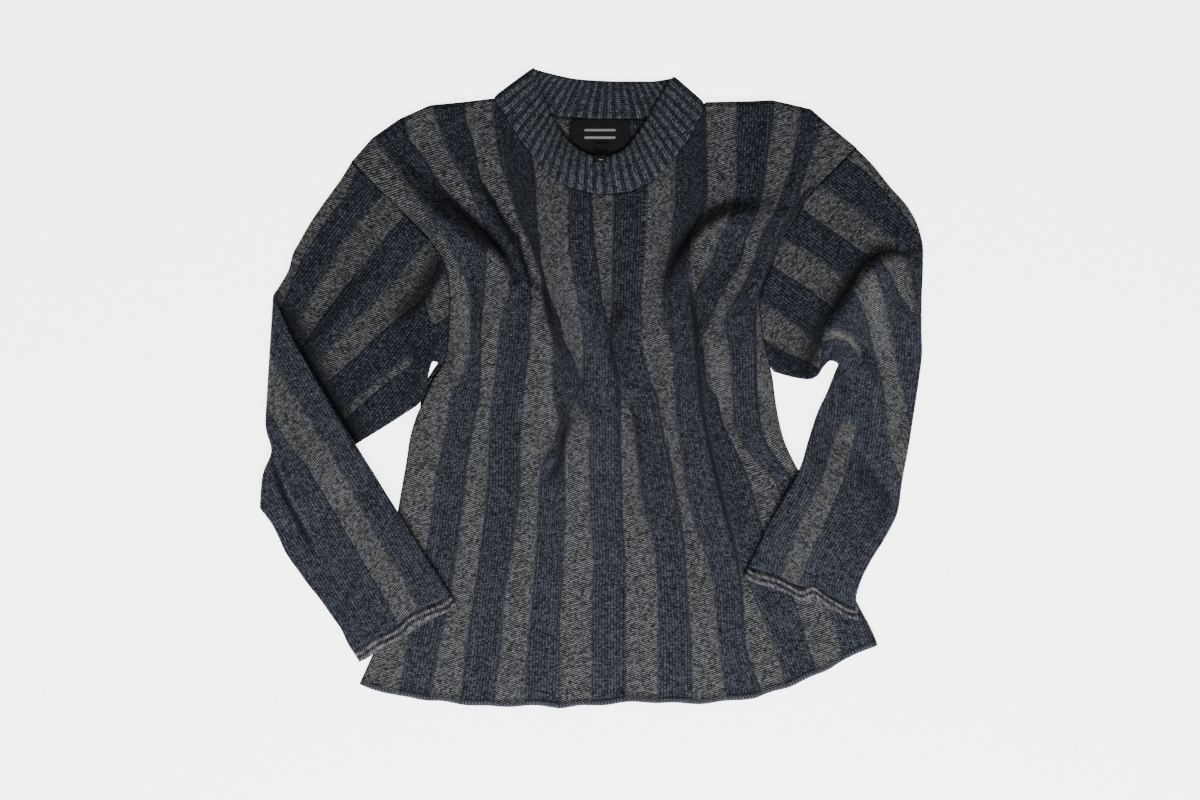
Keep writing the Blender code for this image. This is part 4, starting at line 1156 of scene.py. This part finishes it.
def lay_right(points, level):
    """Folds the sleeve at the elbow and lets the forearm down on what is below."""
    x = points[:, :, 0]
    y = points[:, :, 1]
    above = np.clip(level, 0.0, 1.0)[None, :]
    under = np.clip(-level, 0.0, 1.0)[None, :]
    off_fold = ease((x - FOLD_POINT[0] - FOLD_ARC) / 18.0)
    upper = fold_height(RIGHT_UPPER_FOLDS, x, y) + 0.5 * ripple(x, y, 40.0, 8.5)
    upper = upper - 1.5 * crease_shade(RIGHT_UPPER_VALLEYS, x, y)
    folded, beyond = fold_over(points)
    x = folded[:, :, 0]
    y = folded[:, :, 1]
    fore = fold_height(RIGHT_FOREARM_FOLDS, x, y) + 0.6 * ripple(x, y, 40.0, 11.5)
    fore = fore - 2.0 * crease_shade(RIGHT_FOREARM_VALLEYS, x, y)
    base = PIVOT_HEIGHT * 2.0 - SLEEVE_TOP
    lift = above * upper * off_fold * (1.0 - beyond) + under * fore * beyond
    folded[:, :, 2] += lift + beyond * (right_support(x, y) - base)
    return elbow_notch(folded)


def lay_left(points, level):
    """Lets the sleeve down over the body and raises its folds."""
    x = points[:, :, 0]
    y = points[:, :, 1]
    above = np.clip(level, 0.0, 1.0)[None, :]
    tall = fold_height(LEFT_FOLDS, x, y) + 0.6 * ripple(x, y, 38.0, 21.5)
    tall = tall - 2.0 * crease_shade(LEFT_VALLEYS, x, y)
    out = points.copy()
    out[:, :, 2] += above * tall + left_support(x, y)
    return out


def lay_tube(outer, inner, level, lay, stripe, run):
    """Lays a sleeve down; its folds and ribs start a little way after the armhole."""
    start = ease(np.arange(len(outer)) / 8.0)[:, None]
    laid = []
    for points in (outer, inner):
        down = lay(points, level)
        down[:, :, 2] = points[:, :, 2] + (down[:, :, 2] - points[:, :, 2]) * start
        laid.append(down)
    outer, inner = laid
    ends = ease(run / 6.0) * ease((run.max() - run) / 6.0)
    looks_up = outer[:, :, 2] - inner[:, :, 2] > 0.6
    outer[:, :, 2] += RIB_CROWN * ease(stripe / RIB_SLOPE) * ends * looks_up
    return outer, inner


def sleeve_shell(name, node, material, places, run, stripe, knit, dark):
    """A sleeve's cloth from its laid points; both its ends are sewn on."""
    ends = np.minimum(run, run.max() - run)
    facts = cloth_facts(stripe, ends, np.full(run.shape, FAR), dark)
    return shell(name, node, material, *places, knit, facts, wrap_cols=True)


def hidden_knit(level, from_edge, run):
    """Stitch positions that go round a tube, turned back on its hidden side."""
    turn = np.where(level > TOP_LEVEL, 1.0, -1.0)
    return np.stack([from_edge * turn[None, :], run], axis=2)


def slanted_knit(x, y, across, down, start):
    """Stitch positions in the plan: across and down give the x and y share of each."""
    return np.stack([across[0] * x + across[1] * y, down[0] * x + down[1] * y + start], axis=2)


def right_sleeve(material, x, y):
    """The wearer's right sleeve: its forearm shows the side that was underneath."""
    edge = armhole_edge(x, y, -1)
    outer, inner, level, from_edge, run = fine_tube(RIGHT_ROWS, edge, -1, 7, TUBE_COLUMNS)
    top = level > TOP_LEVEL
    px = outer[:, :, 0]
    py = outer[:, :, 1]
    laid = lay_right(outer, level)
    fx = laid[:, :, 0]
    fy = laid[:, :, 1]
    forearm = ((outer[:, :, :2] - FOLD_POINT) @ FOLD_AWAY > 2.0) & (level < 0.6)[None, :]
    stripe = np.where(top[None, :], stroke_facts(RIGHT_UPPER_GREY, px, py),
                      hidden_ribs(from_edge))
    stripe = np.where(forearm, stroke_facts(RIGHT_FOREARM_GREY, fx, fy), stripe)
    upper_knit = slanted_knit(px, py, (0.8, 0.6), (-0.6, 0.8), 77.0)
    fore_knit = slanted_knit(fx, fy, (0.865, -0.5), (0.5, 0.865), 0.0)
    knit = np.where(top[None, :, None], upper_knit, hidden_knit(level, from_edge, run))
    knit = np.where(forearm[:, :, None], fore_knit, knit)
    # Painted shade in the forearm's valleys and painted highlight on its lapped crest.
    fore_painted_shade_and_light = 1.5 * (crease_shade(RIGHT_FOREARM_VALLEYS, fx, fy)
                       - crest_light(RIGHT_FOREARM_CRESTS, fx, fy))
    # Painted shade: a little all over the upper sleeve, more in its valleys.
    upper_painted_shade = 0.05 + crease_shade(RIGHT_UPPER_VALLEYS, px, py) * top[None, :]
    places = lay_tube(outer, inner, level, lay_right, stripe, run)
    return sleeve_shell("right_sleeve_cloth", "right_sleeve", material, places, run, stripe, knit,
                        np.where(forearm, fore_painted_shade_and_light, upper_painted_shade))


def left_sleeve(material, x, y):
    """The wearer's left sleeve: its ribs break at the elbow arc."""
    edge = armhole_edge(x, y, 1)
    outer, inner, level, from_edge, run = fine_tube(LEFT_ROWS, edge, 1, 8, TUBE_COLUMNS)
    top = level > TOP_LEVEL
    px = outer[:, :, 0]
    py = outer[:, :, 1]
    _, side, _ = near_path(ARC_LINE, px, py)
    upper = side > 0.0
    shown = np.where(upper, stroke_facts(LEFT_UPPER_GREY, px, py),
                     stroke_facts(LEFT_LOWER_GREY, px, py))
    stripe = np.where(top[None, :], shown, hidden_ribs(from_edge))
    upper_knit = slanted_knit(px, py, (-0.6, 0.8), (0.8, 0.6), -778.0)
    bent = 0.42 * ease((py - 330.0) / 150.0) * (px - 870.0)
    fore_knit = np.stack([from_edge, py + 150.0 - bent], axis=2)
    knit = np.where(upper[:, :, None], upper_knit, fore_knit)
    knit = np.where(top[None, :, None], knit, hidden_knit(level, from_edge, run))
    # Painted shade in the valleys and painted highlight on the crests of the shown side.
    dark = (crease_shade(LEFT_VALLEYS, px, py) - crest_light(LEFT_CRESTS, px, py)) * top[None, :]
    places = lay_tube(outer, inner, level, lay_left, stripe, run)
    # The upper sleeve gets a little painted shade all over, the forearm a painted lightening.
    return sleeve_shell("left_sleeve_cloth", "left_sleeve", material, places, run, stripe, knit,
                        dark + np.where(upper, 0.03, -0.2))


# Rows of a turned edge, by how far past the sleeve's end they lie.
CUFF_REACH = (-0.6, 1.2, 3.6, 6.4, 9.2, 12.0)
# Its two rolls: place, sway and width as shares of its length, then height.
ROLLS = ((0.27, 0.04, 0.17, 2.4), (0.76, 0.07, 0.19, 2.0))
# The small hump along the opening and the dip after it: place, width and share.
HUMPS = ((46.0, 9.0, 1.0), (62.0, 8.0, -0.4))


def cuff_rows(rows, reach):
    """Rows of a cuff that carries on from the end of a sleeve."""
    last = np.array(rows[-1][:4], float)
    run = last - np.array(rows[-2][:4], float)
    run[:2] /= np.hypot(*run[:2])
    run[2:] /= np.hypot(*run[2:])
    return [(*(last + run * step), 0.0, 0.0) for step in reach]


def heading_of(rows):
    """The direction that a sleeve's last rows run in, along the outer edge."""
    heading = np.array(rows[-1][:2], float) - np.array(rows[-2][:2], float)
    return heading / np.hypot(*heading)


def cuff(name, node, material, rows, lay, shown, hump):
    """The turned edge of a sleeve: two small rolls that wave along the opening."""
    more = cuff_rows(rows, CUFF_REACH)
    edge = np.array([(more[0][0], more[0][1]), (more[0][2], more[0][3])])
    outer, inner, level, from_edge, run = fine_tube(more[1:], edge, 0.0, 4, 60)
    outer = lay(outer, level)
    inner = lay(inner, level)
    face = np.clip(level * shown, 0.0, 1.0)[None, :]
    length = run.max()
    wave = np.sin(from_edge / 8.7 + 0.8) + 0.9 * np.sin(from_edge / 19.0 + 2.0)
    waist = 0.5 * np.sin(from_edge / 5.2) + 0.5 * np.sin(from_edge / 11.0 + 1.0)
    swell = sum(tall * line_mark(run - (place + sway * waist) * length, width * length)
                for place, sway, width, tall in ROLLS)
    heading = heading_of(rows)
    if shown < 0.0:
        heading = heading - 2.0 * (heading @ FOLD_AWAY) * FOLD_AWAY
    push = wave + hump * sum(share * line_mark(from_edge - place, width)
                             for place, width, share in HUMPS)
    push = push * ease(np.minimum(from_edge, from_edge.max() - from_edge) / 14.0)
    for points in (outer, inner):
        points[:, :, 2] += face * swell
        points[:, :, :2] += (face * push)[:, :, None] * heading
    knit = np.stack([run, from_edge * np.where(level > 0.0, 1.0, -1.0)[None, :]], axis=2)
    # Painted shade in the hollow between the two rolls, and a dark joint at the sleeve's end; both
    # go to the seam fact.
    between = line_mark(run - (0.52 + 0.07 * waist) * length, 0.07 * length)
    joined = np.exp(-np.maximum(run - 0.3, 0.0) / 0.6)
    valley = np.clip((0.8 + 0.4 * waist) * between + 0.6 * joined, 0.0, 1.0)
    return shell(name, node, material, outer, inner, knit, {"seam": valley}, wrap_cols=True)


# The collar's upper edge, from the wearer's right over the front, then back behind.
NECK_TOP_FRONT = [(535, 69), (545, 100), (560, 130), (580, 150), (600, 157), (620, 152),
                  (640, 130), (655, 105), (665, 88), (672, 78)]
NECK_TOP_BACK = [(672, 78), (650, 81), (620, 81), (580, 79), (558, 75), (535, 69)]


# Rows of the collar as shares of its height, closer together at both edges.
BAND_ROWS = np.array((0.0, 0.04, 0.1, 0.18, 0.27, 0.37, 0.48, 0.59, 0.7, 0.8, 0.88, 0.94, 0.98,
                      1.0))


def neck_edge(x, y):
    """The part of a panel's top edge that the neckband is sewn to."""
    line = np.stack([x[0], y[0]], axis=1)
    return line[(line[:, 0] > 494.0) & (line[:, 0] < 704.0)]


def band_lines(front_edge, back_edge, z_front, z_back):
    """Low and high lines of the collar all round, their heights and how far each is in front."""
    middle_z = 0.5 * (z_front + z_back)
    radius = 0.5 * (z_front - z_back)
    angle = np.linspace(0.0, math.pi, 9)[1:-1]
    lows = []
    highs = []
    heights = []
    fronts = []
    halves = ((front_edge, NECK_TOP_FRONT, 58 * 7 + 1, z_front, -1.0),
              (back_edge[::-1], NECK_TOP_BACK, 42 * 7 + 1, z_back, 1.0))
    for edge, top, count, z, turn in halves:
        share = np.linspace(0.0, 1.0, count)
        fine_top = pchip(np.arange(len(top)), top, np.linspace(0.0, len(top) - 1.0, 120))
        low = along(edge, share)
        high = along(fine_top, share)
        fold = high[-1] - low[-1]
        fold = fold / np.hypot(*fold)
        away = np.array((-fold[1], fold[0]))
        centre = 0.5 * (low.mean(axis=0) + high.mean(axis=0))
        if away @ (low[-1] - centre) < 0.0:
            away = -away
        bulge = np.outer(np.sin(angle), away) * radius
        lows += [low, low[-1] + bulge]
        highs += [high, high[-1] + bulge]
        heights += [np.full(count, z), middle_z - turn * radius * np.cos(angle)]
        fronts += [np.full(count, 1.0 if turn < 0.0 else 0.0), np.full(len(angle), 0.5)]
    return (np.concatenate(item) for item in (lows, highs, heights, fronts))


def neckband(material, front_edge, back_edge):
    """A closed ribbed band: its front half lies over its back half."""
    half = BAND_WALL / 2.0
    z_back = BAND_RIB + half
    z_front = BACK_TOP + LAYER_GAP + 1.2 + half
    low, high, z, front = band_lines(front_edge, back_edge, z_front, z_back)
    front = front[:, None]
    length = np.hypot(*(high - low).T)[:, None]
    away = BAND_GAP + (length - BAND_GAP) * BAND_ROWS[None, :]
    middle = np.empty((len(low), len(BAND_ROWS), 3))
    middle[:, :, :2] = low[:, None, :] + (away / length)[:, :, None] * (high - low)[:, None, :]
    middle[:, :, 2] = z[:, None]
    bow = np.sin(math.pi * np.clip(BAND_ROWS * 1.02, 0.0, 1.0))
    middle[:, :, 2] += front * 1.3 * bow[None, :]
    normal = grid_normals(middle, True, False)
    normal *= np.sign(np.sum(normal[:, :, 2] * (middle[:, :, 2] - 0.5 * (z_front + z_back))))
    place = np.arange(len(low))[:, None] / BAND_STEPS
    wave = 0.5 + 0.5 * np.cos(2.0 * math.pi * (place - 0.5))
    rib = np.broadcast_to(ease(wave * 1.6 - 0.15), away.shape)
    end = np.clip((BAND_ROWS - 0.88) / 0.12, 0.0, 1.0)
    thick = np.sqrt(np.clip(1.0 - end**2, 0.04, 1.0)) * (0.2 + 0.8 * ease(BAND_ROWS / 0.12))
    face = np.where(front > 0.2, 1.0, 0.6)
    rise = half * thick + face * rib * BAND_RIB * (0.35 + 0.65 * thick)
    sink = half * thick + 0.35 * (1.0 - rib) * thick
    outer = middle + normal * rise[:, :, None]
    inner = middle - normal * sink[:, :, None]
    for points in (outer, inner):
        points[:, :, 2] = np.maximum(points[:, :, 2], 0.1)
    knit = np.stack([np.broadcast_to(place * BAND_PITCH, away.shape), away], axis=2)
    return shell("neckband_cloth", "neckband", material, outer, inner, knit,
                 {"rib": (rib, 1.0 - rib), "seam": np.exp(-away / 1.2)}, wrap_rows=True)


# The woven label: its plan place and its rounded upper corners.
LABEL_TOP = 119.0
LABEL_FOOT = 160.0
LABEL_LEFT = 570.0
LABEL_WIDTH = 60.0
LABEL_CORNER = 9.0


def woven_label(material):
    """A small tape label sewn inside the back, with two plain bars."""
    turn = 1.0 - np.cos(np.linspace(0.0, 0.5 * math.pi, 13))
    y = np.concatenate([LABEL_TOP + LABEL_CORNER * turn,
                        np.linspace(LABEL_TOP + 10.0, LABEL_FOOT, 26)])
    corner = np.clip((LABEL_TOP + LABEL_CORNER - y) / LABEL_CORNER, 0.0, 1.0)
    inset = LABEL_CORNER * (1.0 - np.sqrt(1.0 - corner**2))
    share = np.linspace(0.0, 1.0, 41)
    x = LABEL_LEFT + inset[:, None] + (LABEL_WIDTH - 2.0 * inset)[:, None] * share
    tall = y[:, None] * np.ones_like(x)
    z = BACK_TOP + 0.88 - 0.25 * np.exp(-(tall - LABEL_TOP) / 0.8)
    upper = np.stack([x, tall, z], axis=2)
    lower = upper.copy()
    lower[:, :, 2] = BACK_TOP + 0.3
    inside = ease((x - 584.0) / 0.8) * ease((616.0 - x) / 0.8)
    bar = inside * (line_mark(tall - 130.0, 1.4) + line_mark(tall - 137.5, 1.4))
    return shell("label_tape", "label", material, upper, lower, upper[:, :, :2],
                 {"bar": np.clip(bar, 0, 1)})


# Points down the size tab: y and height of the tape's middle.
TAB_LINE = [(143.0, 3.3), (149.0, 3.3), (153.5, 4.8), (155.6, 6.9), (157.5, 7.6), (163.0, 7.3)]
TAB_LEFT = 595.0
TAB_WIDTH = 12.0


def size_tab(material):
    """A small tab that hangs from the label over the collar's edge."""
    y, base = pchip(np.arange(len(TAB_LINE)), TAB_LINE, np.linspace(0.0, 5.0, 31)).T[:, :, None]
    x = TAB_LEFT + TAB_WIDTH * np.linspace(0.0, 1.0, 9)[None, :] * np.ones_like(y)
    middle = np.stack([x, y + 0.0 * x, base + 0.0 * x], axis=2)
    normal = grid_normals(middle, False, False)
    normal *= np.sign(normal[:, :, 2:3])
    bar = line_mark(x - TAB_LEFT - 0.5 * TAB_WIDTH, 3.0) * line_mark(y - 160.0, 0.5)
    return shell("size_tab_tape", "size_tab", material, middle + 0.25 * normal,
                 middle - 0.25 * normal, middle[:, :, :2], {"bar": np.clip(bar, 0, 1)})


def plain_material(name, colour, roughness, glow):
    """A matt surface with a fine grain that shines a little by itself."""
    shade = Shader(name)
    place = shade.node("ShaderNodeNewGeometry").outputs["Position"]
    grain = shade.node("ShaderNodeTexNoise", Vector=place, Scale=400.0)
    shade.bump(Value(shade.tree, grain.outputs["Fac"]), 0.00002, 0.2)
    shade.set(Base_Color=colour, Roughness=roughness, Emission_Color=(1.0, 1.0, 1.0),
              Emission_Strength=glow)
    return shade.material


def floor():
    """A pale plain table under the sweater."""
    size = 6.0
    corners = [(-size, -size), (size, -size), (size, size), (-size, size)]
    mesh = bpy.data.meshes.new("floor")
    mesh.from_pydata([(x, y, -0.0002) for x, y in corners], [], [(0, 1, 2, 3)])
    mesh.materials.append(plain_material("pale table", (0.93, 0.93, 0.93), 0.7, 4.0))
    made = bpy.data.objects.new("floor", mesh)
    bpy.context.scene.collection.objects.link(made)


def lamp(name, place, target, size, power):
    """A flat lamp that looks at a target."""
    light = bpy.data.lights.new(name, "AREA")
    light.shape = "RECTANGLE"
    light.size, light.size_y = size
    light.energy = power
    made = bpy.data.objects.new(name, light)
    made.location = place
    aim = Vector(target) - Vector(place)
    made.rotation_euler = aim.to_track_quat("-Z", "Y").to_euler()
    bpy.context.scene.collection.objects.link(made)


# The camera looks straight down at the middle of the photograph's frame.
FRAME_MIDDLE = (600.0, 400.0)
CAMERA_HEIGHT = 2.504


def studio():
    """Soft room light, a broad lamp on the hem's side, and the camera."""
    world = bpy.data.worlds.new("room")
    world.use_nodes = True
    sky = world.node_tree.nodes["Background"].inputs
    sky["Color"].default_value = (1.0, 1.0, 1.0, 1.0)
    sky["Strength"].default_value = 0.42
    bpy.context.scene.world = world
    lamp("hem side lamp", (0.1, -1.9, 1.25), (0.0, 0.0, 0.0), (1.3, 0.65), 97.0)
    camera = bpy.data.cameras.new("camera")
    camera.sensor_width = 36.0
    camera.lens = 75.0
    made = bpy.data.objects.new("camera", camera)
    made.location = (*to_world((*FRAME_MIDDLE, 0.0))[:2], CAMERA_HEIGHT)
    bpy.context.scene.collection.objects.link(made)
    bpy.context.scene.camera = made


stripes = striped_knit("striped knit")
collar = ribbed_knit("collar rib")
rolled = rolled_knit("rolled grey knit")
tape = woven_tape("woven tape")

front, front_x, front_y = front_panel(stripes)
back, back_x, back_y = back_panel(stripes)
band = neckband(collar, neck_edge(front_x, front_y), neck_edge(back_x, back_y))
right = right_sleeve(stripes, front_x, front_y)
left = left_sleeve(stripes, front_x, front_y)
right_end = cuff("right_cuff_roll", "right_cuff", rolled, RIGHT_ROWS, lay_right, -1.0, -1.5)
left_end = cuff("left_cuff_roll", "left_cuff", rolled, LEFT_ROWS, lay_left, 1.0, -6.0)
label = woven_label(tape)
tab = size_tab(tape)

floor()
studio()
